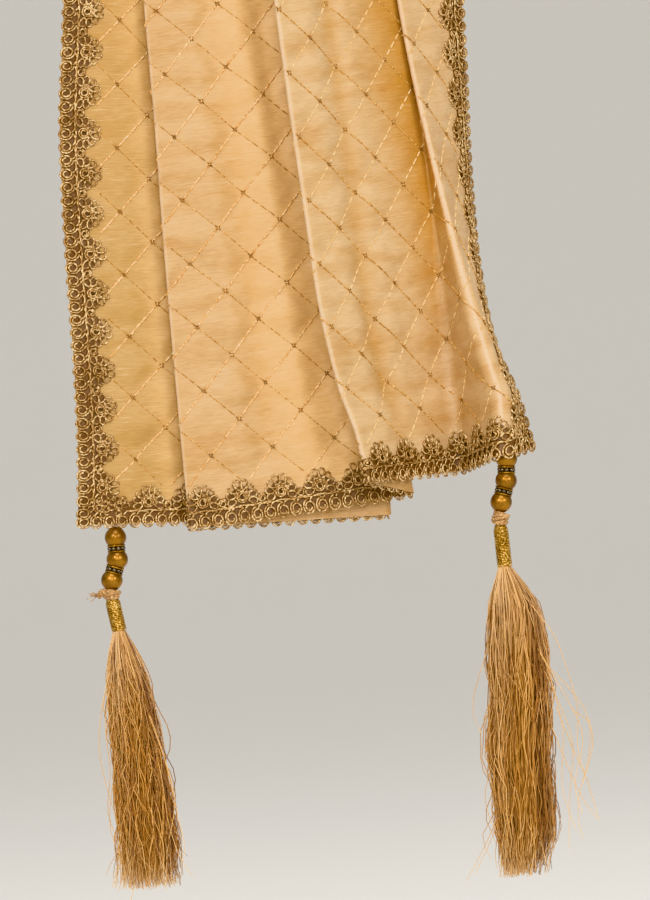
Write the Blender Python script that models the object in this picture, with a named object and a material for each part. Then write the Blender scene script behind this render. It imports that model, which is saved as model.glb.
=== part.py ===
"""Dupatta stole, pleated lengthwise and worn over one shoulder.

One long cloth with corded flower lace along its four edges and a beaded silk tassel at each
corner. The front end hangs down on -Y, the back end on +Y, and +Z is up. The origin is where
the wearer's shoulder carries the stole: on the underside of the cloth, at the top of its arch.

A place on the flat cloth is given by two lengths in millimetres: u across it, from the edge
that hangs innermost, and v along it, from the front hem. The pleats are laid out as a belt
running round upright pins: each cross-section lists a pin for every fold, and the cloth runs
straight from pin to pin. "forward" is the distance away from the wearer.
"""

import math
from dataclasses import dataclass

import bmesh
import bpy
import numpy as np
from mathutils import Matrix, Vector

MM = 0.001

# ---------------------------------------------------------------- the cloth, in millimetres
CLOTH_WIDTH = 534.0
CLOTH_LENGTH = 2030.0
TOP_OF_SHOULDER = 1200.0        # v where the cloth crosses the top of the shoulder
ARCH_RADIUS = 100.0             # of the bend over the shoulder
ARCH_REACH = 190.0              # along the cloth from the top to where every face hangs straight
BUNDLE_MIDDLE = 104.5           # across-place that hangs over the origin
WALL = 1.0
SEAM_GAP = 0.3
HEM_INSET = 1.0                 # the lace reaches this far past the cloth's own edge

# Where each fold's pin stands across the bundle. The folds are named after the two faces
# they join, from the innermost face A to the outermost face D.
ACROSS = np.array((
    # v      edge_a  a_ab   ab_b  b_bc   bc_c   c_cd   cd_d   edge_d
    (0,      0.0,    144.0, 53.4, 156.0, 137.4, 180.4, 201.5, 216.1),
    (25,     1.8,    145.0, 52.4, 152.0, 133.8, 180.1, 201.5, 211.0),
    (45,     2.8,    145.0, 51.9, 149.0, 128.2, 179.4, 197.5, 203.4),
    (85,     3.4,    145.0, 51.0, 144.0, 121.3, 178.0, 189.0, 199.2),
    (125,    3.2,    145.5, 50.3, 142.0, 117.9, 177.0, 182.0, 198.5),
    (190,    4.3,    147.0, 49.9, 139.0, 113.0, 172.5, 172.0, 200.7),
    (250,    10.2,   150.0, 48.9, 136.0, 109.3, 167.5, 165.5, 202.3),
    (400,    20.0,   155.0, 52.0, 137.0, 105.0, 165.0, 152.0, 198.0),
    (600,    29.0,   158.0, 58.0, 140.0, 100.0, 164.0, 140.0, 192.0),
    (800,    38.0,   162.0, 66.0, 147.0, 94.5,  158.5, 125.0, 176.0),
    (1010,   44.0,   165.0, 73.0, 153.0, 92.0,  155.0, 113.0, 162.0),
    (1390,   44.0,   165.0, 73.0, 153.0, 92.0,  155.0, 113.0, 162.0),
    (1650,   36.0,   162.0, 66.0, 146.0, 92.0,  152.0, 120.0, 174.0),
    (2030,   20.0,   148.0, 56.0, 138.0, 92.0,  149.0, 126.0, 193.0),
))
FORWARD = np.array((
    # v      edge_a  a_ab   ab_b  b_bc   bc_c   c_cd   cd_d   edge_d
    (0,      14.0,   -17.0, 9.5,  -8.0,  20.0,  -18.0, 10.0,  -3.0),
    (25,     14.0,   -19.0, 9.2,  -8.0,  21.0,  -21.0, 3.0,   -14.0),
    (45,     14.0,   -19.5, 9.0,  -8.0,  21.0,  -27.0, -10.0, -28.0),
    (85,     13.0,   -21.0, 8.5,  -9.5,  21.0,  -27.0, -20.0, -56.0),
    (125,    13.0,   -23.0, 8.0,  -10.5, 21.0,  -27.5, -23.0, -66.0),
    (190,    12.0,   -25.0, 7.5,  -11.0, 21.0,  -26.5, -22.5, -60.0),
    (250,    12.0,   -26.0, 7.5,  -10.0, 21.0,  -24.5, -20.5, -52.0),
    (400,    10.0,   -21.0, 7.4,  -6.0,  20.0,  -12.0, -1.0,  -26.0),
    (600,    6.0,    -12.0, 7.0,  -1.0,  17.0,  2.0,   12.0,  -2.0),
    (800,    2.0,    -6.0,  6.0,  2.0,   14.2,  8.0,   16.0,  12.0),
    (1010,   0.0,    2.0,   5.05, 8.1,   11.2,  14.2,  17.3,  18.3),
    (1390,   0.0,    2.0,   5.05, 8.1,   11.2,  14.2,  17.3,  18.3),
    (1650,   2.0,    0.0,   6.0,  7.0,   14.0,  14.0,  20.0,  16.0),
    (2030,   6.0,    -4.0,  10.0, 5.0,   18.5,  16.0,  26.0,  12.0),
))
# How sharply the cloth turns round each pin. A fold that opens to the front is positive, and
# leaves room for lace on both of its faces; one that shows as a crease is negative.
TURNING = np.array((
    # v      edge_a  a_ab   ab_b   b_bc   bc_c   c_cd   cd_d   edge_d
    (0,      0.0,    2.7,   -1.05, 2.7,   -1.2,  6.0,   -5.0,  0.0),
    (45,     0.0,    2.7,   -1.05, 2.7,   -1.2,  5.0,   -4.5,  0.0),
    (85,     0.0,    2.7,   -1.05, 2.7,   -1.2,  4.0,   -3.0,  0.0),
    (125,    0.0,    2.7,   -1.05, 2.7,   -1.2,  1.5,   -1.5,  0.0),
    (190,    0.0,    2.7,   -1.05, 2.7,   -1.2,  1.2,   -1.1,  0.0),
    (400,    0.0,    2.5,   -1.05, 2.5,   -1.1,  1.2,   -1.05, 0.0),
    (1010,   0.0,    2.0,   -1.05, 2.0,   -1.05, 2.0,   -1.05, 0.0),
    (1390,   0.0,    2.0,   -1.05, 2.0,   -1.05, 2.0,   -1.05, 0.0),
    (2030,   0.0,    2.7,   -1.05, 2.7,   -1.05, 2.7,   -1.05, 0.0),
))
# Which place u of the flat cloth lies on each crease that shows.
CREASES = np.array((
    # v      ab_b   bc_c   cd_d
    (0,      252.5, 400.0, 509.0),
    (25,     253.0, 399.0, 509.0),
    (45,     253.5, 398.0, 508.0),
    (85,     254.2, 398.0, 494.0),
    (125,    255.0, 399.0, 487.0),
    (190,    258.5, 400.0, 487.5),
    (250,    261.5, 401.0, 487.5),
    (600,    243.0, 378.0, 476.0),
    (1010,   219.0, 368.0, 484.0),
    (1390,   219.0, 368.0, 484.0),
    (1650,   230.0, 375.0, 480.0),
    (2030,   232.0, 372.0, 466.0),
))
# The outer faces have further to go over the shoulder, so they hang this much higher.
RAISE = np.array((
    # v      edge_a  a_ab   ab_b  b_bc   bc_c   c_cd   cd_d   edge_d
    (0,      5.8,    0.0,   1.1,  9.2,   17.4,  18.2,  24.4,  27.0),
    (60,     3.5,    0.0,   2.5,  10.2,  14.2,  21.0,  26.5,  31.0),
    (140,    0.8,    0.0,   3.0,  10.5,  13.4,  22.8,  27.5,  33.0),
    (1200,   0.8,    0.0,   3.0,  9.5,   13.4,  20.0,  25.5,  28.0),
    (2030,   3.0,    0.0,   4.0,  9.0,   16.0,  20.0,  26.0,  28.0),
))
SETTLING_ROUNDS = 14
SETTLING_SHARE = 0.8            # of the lack of cloth, taken up in each round

# ---------------------------------------------------------------- mesh fineness
FACE_STEPS = (2, 1, 2, 1, 2, 1, 2)      # columns on each face, A to D
TURN_STEPS = 3                          # columns round each fold
FRONT_ROWS = (20, 33, 45, 57, 67, 76, 85, 95, 105, 115, 127, 145, 165, 190, 215, 240, 275, 320,
              365, 420, 490, 560, 630, 700, 775, 850, 925)
ARCH_STEPS = 12
BACK_ROWS = (1455, 1530, 1610, 1700, 1800, 1905, 2010)

# ---------------------------------------------------------------- lace, in millimetres
LACE_WIDTH = 19.0
LACE_WAIST = 14.0               # its width between two flowers
LACE_THICKNESS = 1.2
LACE_LIFT = WALL / 2 + SEAM_GAP
FLOWER_PITCH = 19.0
FLOWER_STEPS = 2                # stations on each flower
FLOWER_BLUNTNESS = 0.6          # of a flower's outline: 1 is a plain sine curve
CORNER_GAP = 0.3
SAME_COLUMN = 0.6               # a hem's columns closer than this are one
SAME_ROW = 4.0                  # and a long edge's rows
HEM_LACE_START = LACE_WIDTH + CORNER_GAP
HEM_LACE_END = CLOTH_WIDTH - LACE_WIDTH - CORNER_GAP
FOLD_SHARE_REACH = 20.0         # the hem's lace stops following the folds this near its end

# ---------------------------------------------------------------- tassels, in millimetres
BEAD_RADIUS = 4.85
BEAD_PITCH = 10.3
BEAD_SIDES = 8
BEAD_BANDS = 6
RONDELLE_RADIUS = 4.4
RONDELLE_HALF_HEIGHT = 1.7
RONDELLE_SIDES = 8
RONDELLE_CLEARANCE = 0.3        # between a bead and the hollow that it nests in
RONDELLE_WAIST = 0.55           # its hole's radius, as a share of the hollow's mouth
KNOT_RADIUS = 3.0
KNOT_HALF_HEIGHT = 1.5
KNOT_BANDS = 5
NECK_RADIUS = 3.8
NECK_TOP_SHARE = 0.8            # of its radius at the top
NECK_TAPER_SHARE = 0.2          # of its length
NECK_SIDES = 12
SKIRT_GAP = 0.9                 # below a neck, which leans where the skirt's top is level
STRAND_RINGS = 3                # rings of three-sided strands under a tassel's head
STRAND_SHARE = 0.70             # of the room each strand has at its root
STRAND_TIP_SHARE = 0.35
STRAND_LEVELS = (0.5, 1.0)
STRAND_SHORTENING = 0.048       # the most that a strand falls short of the skirt's foot
SHORTENING_CYCLE = 5            # strands before the same length comes again
SHORTENING_STRIDE = 7


@dataclass(frozen=True)
class TasselPlan:
    """One corner's tassel: where it is sewn on and how it hangs, in millimetres."""

    name: str
    u: float                    # place on the hem
    v: float
    inset: float                # how far behind the cloth its first bead is
    aside: float                # how far to +X of that
    drop: float                 # of the first bead's centre below the hem
    beads: tuple                # (across, down) of each bead from the first one
    neck_top: tuple
    neck_foot: tuple
    skirt_foot: tuple
    profile: tuple              # (share of the skirt's length, radius)


SLIM_SKIRT = ((0.0, 4.4), (0.07, 6.6), (0.5, 12.6), (1.0, 16.5))
FULL_SKIRT = ((0.0, 4.4), (0.07, 8.6), (0.5, 17.2), (1.0, 13.5))
TASSELS = (
    TasselPlan("front_a", 17.0, 0.0, 0.0, 0.4, 5.4, ((0.0, 0.0), (0.1, 10.3), (-3.1, 19.9)),
               (-3.7, 28.2), (-1.3, 43.6), (4.0, 165.0), SLIM_SKIRT),
    TasselPlan("front_d", 511.0, 0.0, 8.0, 2.2, 0.7, ((0.0, 0.0), (-0.9, 10.3), (-3.9, 20.2)),
               (-5.1, 30.6), (-4.3, 50.4), (-5.0, 196.0), FULL_SKIRT),
    TasselPlan("back_a", 17.0, CLOTH_LENGTH, 0.0, 0.0, 5.4,
               ((0.0, 0.0), (0.0, 10.3), (0.0, 20.6)),
               (0.0, 29.9), (0.0, 46.9), (0.0, 172.0), SLIM_SKIRT),
    TasselPlan("back_d", 517.0, CLOTH_LENGTH, 0.0, 0.0, 5.4,
               ((0.0, 0.0), (0.0, 10.3), (0.0, 20.6)),
               (0.0, 29.9), (0.0, 47.4), (0.0, 184.0), FULL_SKIRT),
)

# name: base colour, metallic, roughness
COLOURS = {
    "silk": ((0.72, 0.48, 0.24), 0.0, 0.45),
    "gold_lace": ((0.38, 0.24, 0.10), 0.35, 0.55),
    "gold_bead": ((0.52, 0.33, 0.08), 0.85, 0.38),
    "brass_rondelle": ((0.20, 0.14, 0.07), 0.9, 0.35),
    "peach_thread": ((0.72, 0.46, 0.27), 0.0, 0.6),
    "gold_thread": ((0.60, 0.39, 0.10), 0.6, 0.45),
    "silk_floss": ((0.62, 0.37, 0.16), 0.0, 0.5),
}


# ================================================================ the draped surface
def between_rows(table, v):
    """A table's row at v, on smooth curves through its rows that never overshoot them."""
    stations = table[:, 0]
    v = min(max(v, stations[0]), stations[-1])
    i = min(int(np.searchsorted(stations, v, side="right")) - 1, len(stations) - 2)
    rises = np.diff(table[:, 1:], axis=0) / np.diff(stations)[:, None]

    def slope(row):
        before, after = rises[max(row - 1, 0)], rises[min(row, len(rises) - 1)]
        gentle = np.minimum(np.abs((before + after) / 2), 3 * np.minimum(abs(before), abs(after)))
        return np.where(before * after <= 0, 0.0, np.sign(after) * gentle)

    width = stations[i + 1] - stations[i]
    t = (v - stations[i]) / width
    start, end = table[i, 1:], table[i + 1, 1:]
    return ((2 * t**3 - 3 * t**2 + 1) * start + (t**3 - 2 * t**2 + t) * width * slope(i)
            + (3 * t**2 - 2 * t**3) * end + (t**3 - t**2) * width * slope(i + 1))


def belt(pins):
    """Headings and lengths of the straight runs between pins, and the turn round each pin."""
    headings, lengths, turns = [], [], []
    for (x0, f0, r0), (x1, f1, r1) in zip(pins[:-1], pins[1:]):
        span = math.hypot(x1 - x0, f1 - f0)
        headings.append(math.atan2(f1 - f0, x1 - x0) - math.asin((r1 - r0) / span))
        lengths.append(math.sqrt(span**2 - (r1 - r0) ** 2))
    for j in range(1, len(headings)):
        sense = math.copysign(1.0, pins[j][2])
        turns.append(sense * (((headings[j] - headings[j - 1]) * sense) % (2 * math.pi)))
    return headings, lengths, turns


def fold_places(pins):
    """The length along the belt at the middle of each fold, from edge to edge."""
    _, lengths, turns = belt(pins)
    places, reached = [0.0], 0.0
    for length, turn, pin in zip(lengths, turns, pins[1:]):
        bend = abs(turn * pin[2])
        places.append(reached + length + bend / 2)
        reached += length + bend
    places.append(reached + lengths[-1])
    return places


def settle(across, forward, turning, creases):
    """Moves the hidden pins, and the free edge, until the cloth between the creases fits."""
    across, forward = list(across), list(forward)
    wanted = dict(zip((0, 2, 4, 6, 7), (0.0, *creases, CLOTH_WIDTH)))
    for _ in range(SETTLING_ROUNDS):
        places = fold_places(list(zip(across, forward, turning)))
        for j in (1, 3, 5):
            lack = wanted[j + 1] - wanted[j - 1] - places[j + 1] + places[j - 1]
            here = Vector((across[j], forward[j]))
            outward = sum(((here - Vector((across[k], forward[k]))).normalized()
                           for k in (j - 1, j + 1)), Vector((0.0, 0.0)))
            step = outward.normalized() * lack * SETTLING_SHARE / outward.length
            across[j] += step.x
            forward[j] += step.y
        lack = wanted[7] - wanted[6] - places[7] + places[6]
        run = Vector((across[7] - across[6], forward[7] - forward[6])).normalized()
        across[7] += run.x * lack
        forward[7] += run.y * lack
    return list(zip(across, forward, turning))


def column_places(face, run):
    """Where the columns of a face stand along its straight run. The outermost two faces have
    one along the inner edge of their lace."""
    if face == 0:
        return np.array((0.0, LACE_WIDTH, (LACE_WIDTH + run) / 2, run))
    if face == len(FACE_STEPS) - 1:
        return np.array((0.0, run - LACE_WIDTH, run))
    return np.linspace(0.0, run, FACE_STEPS[face] + 1)


def section(v):
    """The cross-section at v as rows of (u, across, forward, heading, raise)."""
    pins = settle(between_rows(ACROSS, v), between_rows(FORWARD, v),
                  between_rows(TURNING, v), between_rows(CREASES, v))
    headings, lengths, turns = belt(pins)
    heading, reached, rows = headings[0], 0.0, []
    for j, length in enumerate(lengths):
        x, f, radius = pins[j]
        x += radius * math.sin(heading)
        f -= radius * math.cos(heading)
        for t in column_places(j, length)[0 if j == 0 else 1:]:
            rows.append((reached + t, x + t * math.cos(heading), f + t * math.sin(heading), heading))
        reached += length
        if j < len(turns):
            x, f, radius = pins[j + 1]
            bend = abs(turns[j] * radius)
            for t in np.linspace(0.0, 1.0, TURN_STEPS + 1)[1:]:
                angle = heading + turns[j] * t
                rows.append((reached + t * bend, x + radius * math.sin(angle),
                             f - radius * math.cos(angle), angle))
            heading += turns[j]
            reached += bend
    rows = np.array(rows)
    lift = np.interp(rows[:, 0], fold_places(pins), between_rows(RAISE, v))
    return np.column_stack((rows, lift))


def drape(path):
    """(y, z) of the cloth path over the shoulder, and its outward direction, at a length from
    the top: negative to the front."""
    quarter = ARCH_RADIUS * math.pi / 2
    angle = min(max(path, -quarter), quarter) / ARCH_RADIUS
    out_y, out_z = math.sin(angle), math.cos(angle)
    y = ARCH_RADIUS * out_y
    z = ARCH_RADIUS * (out_z - 1) - max(abs(path) - quarter, 0.0)
    return y, z + WALL / 2, out_y, out_z


def path_length(v, lift):
    """How far along the drape a place lies, from the top of the shoulder."""
    from_top = v - TOP_OF_SHOULDER
    return from_top - math.copysign(lift * min(abs(from_top) / ARCH_REACH, 1.0), from_top)


class Cloth:
    """The draped cloth as a grid of rows, each a cross-section."""

    def __init__(self, rows):
        self.v = np.array(rows, float)
        cuts = [section(v) for v in self.v]
        self.u = np.array([cut[:, 0] for cut in cuts])
        places = np.array([[self.place(v, *row) for row in cut] for v, cut in zip(self.v, cuts)])
        self.points, self.normals, self.away = (places[:, :, k] for k in range(3))
        self.hollow = self.hollow_diagonals()

    def hollow_diagonals(self):
        """Whether each quad's first diagonal, from its first corner to the opposite one, lies
        behind the other. Splitting a quad along the one behind leaves no ridge under the lace.
        Away from the lace, behind is towards the wearer, so that all the faces bend alike.
        """
        first = self.points[:-1, :-1] + self.points[1:, 1:]
        second = self.points[:-1, 1:] + self.points[1:, :-1]
        under_lace = np.zeros(first.shape[:2], bool)
        under_lace[:, [0, -1]] = True
        under_lace[self.v[:-1] < LACE_WIDTH] = True
        under_lace[self.v[1:] > CLOTH_LENGTH - LACE_WIDTH] = True
        front = np.where(under_lace[..., None], self.normals[:-1, :-1], self.away[:-1, :-1])
        return ((first - second) * front).sum(axis=2) <= 0

    @staticmethod
    def place(v, _, across, forward, heading, lift):
        """A cross-section's row as a point, the normal of the cloth's right side, and the
        direction away from the wearer."""
        y, z, out_y, out_z = drape(path_length(v, lift))
        point = (across - BUNDLE_MIDDLE, y + out_y * forward, z + out_z * forward)
        normal = (-math.sin(heading), out_y * math.cos(heading), out_z * math.cos(heading))
        return point, normal, (0.0, out_y, out_z)

    def at(self, u, v):
        """The point and normal at a place of the flat cloth, on the facets of this grid."""
        i, t = self.row_at(v)
        columns = self.columns_at(v)
        j = int(np.clip(np.searchsorted(columns, u, side="right") - 1, 0, len(columns) - 2))
        s = (u - columns[j]) / (columns[j + 1] - columns[j])

        def on_facet(field):
            near, near_next, far, far_next = (field[r][c] for r in (i, i + 1) for c in (j, j + 1))
            if not self.hollow[i][j]:
                if s + t < 1:
                    return near + s * (near_next - near) + t * (far - near)
                return far_next + (1 - s) * (far - far_next) + (1 - t) * (near_next - far_next)
            if s > t:
                return near + s * (near_next - near) + t * (far_next - near_next)
            return near + t * (far - near) + s * (far_next - far)

        normal = on_facet(self.normals)
        return on_facet(self.points), normal / np.linalg.norm(normal)

    def row_at(self, v):
        """The row below v, and how far v lies from it towards the next."""
        i = int(np.clip(np.searchsorted(self.v, v, side="right") - 1, 0, len(self.v) - 2))
        return i, (v - self.v[i]) / (self.v[i + 1] - self.v[i])

    def columns_at(self, v):
        """The u of every column of this grid at v."""
        i, t = self.row_at(v)
        return self.u[i] * (1 - t) + self.u[i + 1] * t

    def beside_folds(self, u, v, hem):
        """The u at v of a line that starts at u on the hem and runs beside the folds. Next to
        the far edge's lace it keeps its u instead."""
        numbers = np.arange(len(self.u[0]))
        followed = np.interp(np.interp(u, self.columns_at(hem), numbers), numbers,
                             self.columns_at(v))
        return u + (followed - u) * min(max((HEM_LACE_END - u) / FOLD_SHARE_REACH, 0.0), 1.0)


# ================================================================ making meshes
def material(name):
    """The named material, made once."""
    if name in bpy.data.materials:
        return bpy.data.materials[name]
    made = bpy.data.materials.new(name)
    made.use_nodes = True
    shader = made.node_tree.nodes["Principled BSDF"]
    colour, metallic, roughness = COLOURS[name]
    shader.inputs["Base Color"].default_value = (*colour, 1.0)
    shader.inputs["Metallic"].default_value = metallic
    shader.inputs["Roughness"].default_value = roughness
    return made


def add_object(name, mesh, colour, smooth_angle=None):
    """Links a mesh to the scene as a named object of one material."""
    mesh.materials.append(material(colour))
    if smooth_angle is not None:
        mesh.shade_smooth()
        mesh.set_sharp_from_angle(angle=smooth_angle)
    made = bpy.data.objects.new(name, mesh)
    bpy.context.scene.collection.objects.link(made)
    return made


def mesh_from(name, points, faces):
    """A mesh from points in millimetres, with all its faces turned outwards."""
    shape = bmesh.new()
    corners = [shape.verts.new(Vector(p) * MM) for p in points]
    for face in faces:
        shape.faces.new([corners[k] for k in face])
    bmesh.ops.recalc_face_normals(shape, faces=shape.faces)
    mesh = bpy.data.meshes.new(name)
    shape.to_mesh(mesh)
    shape.free()
    return mesh


def wall_mesh(name, outer, inner, hollow=None):
    """A closed wall between two grids of points of the same size. hollow says of each quad
    whether it is split along its first diagonal, as all are without it."""
    rows, columns = len(outer), len(outer[0])
    points = [p for grid in (outer, inner) for row in grid for p in row]

    def corner(side, r, c):
        return (side * rows + r) * columns + c

    faces = []
    for side in (0, 1):
        for r in range(rows - 1):
            for c in range(columns - 1):
                near, near_next = corner(side, r, c), corner(side, r, c + 1)
                far, far_next = corner(side, r + 1, c), corner(side, r + 1, c + 1)
                if hollow is None or hollow[r][c]:
                    faces += [(near, near_next, far_next), (near, far_next, far)]
                else:
                    faces += [(near, near_next, far), (near_next, far_next, far)]
    rim = ([(0, c) for c in range(columns - 1)]
           + [(r, columns - 1) for r in range(rows - 1)]
           + [(rows - 1, c) for c in range(columns - 1, 0, -1)]
           + [(r, 0) for r in range(rows - 1, 0, -1)])
    for here, after in zip(rim, rim[1:] + rim[:1]):
        faces.append([corner(0, *here), corner(0, *after), corner(1, *after), corner(1, *here)])
    return mesh_from(name, points, faces)


def turned_mesh(name, profile, sides, closed=False):
    """A mesh turned round Z from (radius, z) points. A closed profile makes a ring."""
    shape = bmesh.new()
    line = [shape.verts.new((r * MM, 0.0, z * MM)) for r, z in profile]
    pairs = list(zip(line[:-1], line[1:])) + ([(line[-1], line[0])] if closed else [])
    edges = [shape.edges.new(pair) for pair in pairs]
    bmesh.ops.spin(shape, geom=line + edges, cent=(0, 0, 0), axis=(0, 0, 1),
                   angle=2 * math.pi, steps=sides, use_merge=False)
    bmesh.ops.remove_doubles(shape, verts=shape.verts, dist=0.01 * MM)
    bmesh.ops.recalc_face_normals(shape, faces=shape.faces)
    mesh = bpy.data.meshes.new(name)
    shape.to_mesh(mesh)
    shape.free()
    return mesh


# ================================================================ cloth and lace
def add_cloth(name, cloth):
    """One stretch of the cloth as a wall of even thickness."""
    outer = cloth.points + cloth.normals * WALL / 2
    inner = cloth.points - cloth.normals * WALL / 2
    add_object(name, wall_mesh(name, outer, inner, cloth.hollow), "silk", math.radians(50))


def add_lace(name, stations, place, far_side=False):
    """A strip of lace along its stations, each (distance along, width), on the cloth.

    place turns a distance along and a distance in from the edge into a point and a normal.
    far_side is for the edge where u is greatest: it keeps the strip's facets split the same
    way as the cloth's.
    """
    outer, inner = [], []
    for along, width in stations:
        spots = [place(along, across) for across in (0.0, width)]
        if far_side:
            spots.reverse()
        inner.append([point + LACE_LIFT * normal for point, normal in spots])
        outer.append([point + (LACE_LIFT + LACE_THICKNESS) * normal for point, normal in spots])
    add_object(name, wall_mesh(name, outer, inner), "gold_lace")


def scallops(start, end, steps):
    """(distance along, width) at the waists and crowns of the lace's flowers."""
    flowers = round((end - start) / FLOWER_PITCH)
    stations = []
    for k in range(flowers * steps + 1):
        bulge = math.sin(math.pi * (k % steps) / steps) ** FLOWER_BLUNTNESS if k % steps else 0.0
        stations.append((start + (end - start) * k / (flowers * steps),
                         LACE_WAIST + (LACE_WIDTH - LACE_WAIST) * bulge))
    return stations


def with_lines(stations, lines, same):
    """Lace stations with the cloth's own fold or row lines put in, each in place of any
    station that is the same to within a distance."""
    along = [s for s, _ in stations]
    widths = [w for _, w in stations]
    merged = [line for line in lines if along[0] + same < line < along[-1] - same]
    merged += [station for station in along
               if all(abs(station - line) > same for line in merged)]
    return [(s, float(np.interp(s, along, widths))) for s in sorted(merged)]


# ================================================================ beads and tassels
def add_bead(name, centre):
    """A round pearl bead."""
    shape = bmesh.new()
    bmesh.ops.create_uvsphere(shape, u_segments=BEAD_SIDES, v_segments=BEAD_BANDS,
                              radius=BEAD_RADIUS * MM)
    mesh = bpy.data.meshes.new(name)
    shape.to_mesh(mesh)
    shape.free()
    add_object(name, mesh, "gold_bead", math.radians(60)).location = centre * MM


def add_rondelle(name, above, below):
    """A ring between two beads, hollowed so that both nest in it."""
    reach = BEAD_PITCH / 2 - RONDELLE_HALF_HEIGHT
    mouth = math.sqrt((BEAD_RADIUS + RONDELLE_CLEARANCE) ** 2 - reach**2)
    waist = mouth * RONDELLE_WAIST
    profile = ((RONDELLE_RADIUS, RONDELLE_HALF_HEIGHT), (mouth, RONDELLE_HALF_HEIGHT),
               (waist, 0.0), (mouth, -RONDELLE_HALF_HEIGHT),
               (RONDELLE_RADIUS, -RONDELLE_HALF_HEIGHT))
    made = add_object(name, turned_mesh(name, profile, RONDELLE_SIDES, closed=True),
                      "brass_rondelle")
    made.rotation_mode = "QUATERNION"
    made.rotation_quaternion = (above - below).to_track_quat("Z", "Y")
    made.location = (above + below) / 2 * MM


def add_knot(name, centre):
    """The wrapped thread between the last bead and the tassel's neck."""
    shape = bmesh.new()
    bmesh.ops.create_uvsphere(shape, u_segments=BEAD_SIDES, v_segments=KNOT_BANDS, radius=1.0)
    bmesh.ops.scale(shape, verts=shape.verts,
                    vec=(KNOT_RADIUS * MM, KNOT_RADIUS * MM, KNOT_HALF_HEIGHT * MM))
    mesh = bpy.data.meshes.new(name)
    shape.to_mesh(mesh)
    shape.free()
    add_object(name, mesh, "peach_thread", math.radians(60)).location = centre * MM


def add_neck(name, top, foot):
    """The gold-wound neck of a tassel, from top to foot."""
    length = (top - foot).length
    profile = ((0.0, 0.0), (NECK_RADIUS * NECK_TOP_SHARE, 0.0),
               (NECK_RADIUS, -length * NECK_TAPER_SHARE),
               (NECK_RADIUS, -length), (0.0, -length))
    made = add_object(name, turned_mesh(name, profile, NECK_SIDES), "gold_thread",
                      math.radians(40))
    made.rotation_mode = "QUATERNION"
    made.rotation_quaternion = (top - foot).to_track_quat("Z", "Y")
    made.location = top * MM


def strand_roots(radius):
    """The points of a disc of rings and its triangles, one for each strand."""
    points = [Vector((0.0, 0.0))]
    for ring in range(1, STRAND_RINGS + 1):
        for k in range(6 * ring):
            angle = 2 * math.pi * k / (6 * ring)
            points.append(Vector((math.cos(angle), math.sin(angle))) * radius * ring / STRAND_RINGS)

    def spot(ring, side, k):
        if ring == 0:
            return 0
        return 1 + 3 * ring * (ring - 1) + (side * ring + k) % (6 * ring)

    triangles = []
    for ring in range(1, STRAND_RINGS + 1):
        for side in range(6):
            for k in range(ring):
                triangles.append((spot(ring, side, k), spot(ring, side, k + 1),
                                  spot(ring - 1, side, k)))
                if k < ring - 1:
                    triangles.append((spot(ring - 1, side, k), spot(ring, side, k + 1),
                                      spot(ring - 1, side, k + 1)))
    return points, triangles


def add_skirt(name, top, foot, profile):
    """A tassel's silk skirt: a short head with a bunch of separate strands below it."""
    lean = (foot - top) / (top.z - foot.z)
    length = top.z - foot.z
    shares, radii = zip(*profile)
    head_share, head_radius = profile[1]
    roots, triangles = strand_roots(head_radius)
    rim = range(len(roots) - 6 * STRAND_RINGS, len(roots))

    def axis(share):
        return top + lean * share * length

    points = [axis(head_share) + root.to_3d() for root in roots]
    collar = [len(points) + k for k in range(len(rim))]
    points += [axis(0.0) + roots[k].to_3d() * (radii[0] / head_radius) for k in rim]
    crown = len(points)
    points.append(axis(0.0))
    faces = []
    for k, spot in enumerate(rim):
        after = (k + 1) % len(rim)
        faces.append((spot, rim[after], collar[after], collar[k]))
        faces.append((collar[k], collar[after], crown))
    for number, triangle in enumerate(triangles):
        middle = sum((roots[k] for k in triangle), Vector((0.0, 0.0))) / 3
        ring = list(triangle)
        turn = number * SHORTENING_STRIDE % SHORTENING_CYCLE
        end_share = 1.0 - STRAND_SHORTENING * turn / (SHORTENING_CYCLE - 1)
        for share in (head_share, *(s * end_share for s in STRAND_LEVELS)):
            spread = float(np.interp(share, shares, radii)) / head_radius
            at_tip = share > STRAND_LEVELS[0]
            thickness = STRAND_TIP_SHARE if at_tip else STRAND_SHARE
            fresh = [len(points) + k for k in range(3)]
            for k in triangle:
                offset = middle * spread + (roots[k] - middle) * thickness
                points.append(axis(share) + offset.to_3d())
            for k in range(3):
                faces.append((ring[k], ring[(k + 1) % 3], fresh[(k + 1) % 3], fresh[k]))
            ring = fresh
        faces.append(ring)
    add_object(name, mesh_from(name, points, faces), "silk_floss")


def add_tassel(plan, cloth):
    """A corner's string of beads with its tassel."""
    point, normal = cloth.at(plan.u, plan.v)
    first = Vector(point - plan.inset * normal) + Vector((plan.aside, 0.0, -plan.drop))

    def below(place):
        return first + Vector((place[0], 0.0, -place[1]))

    beads = [below(place) for place in plan.beads]
    for number, centre in enumerate(beads, 1):
        add_bead(f"bead_{plan.name}_{number}", centre)
    for number, (above, under) in enumerate(zip(beads[:-1], beads[1:]), 1):
        add_rondelle(f"rondelle_{plan.name}_{number}", above, under)
    neck_top, neck_foot = below(plan.neck_top), below(plan.neck_foot)
    along = (neck_top - neck_foot).normalized()
    add_knot(f"knot_{plan.name}", neck_top + along * (KNOT_HALF_HEIGHT + SEAM_GAP))
    add_neck(f"neck_{plan.name}", neck_top, neck_foot)
    add_skirt(f"skirt_{plan.name}", neck_foot - along * SKIRT_GAP, below(plan.skirt_foot),
              plan.profile)


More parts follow.
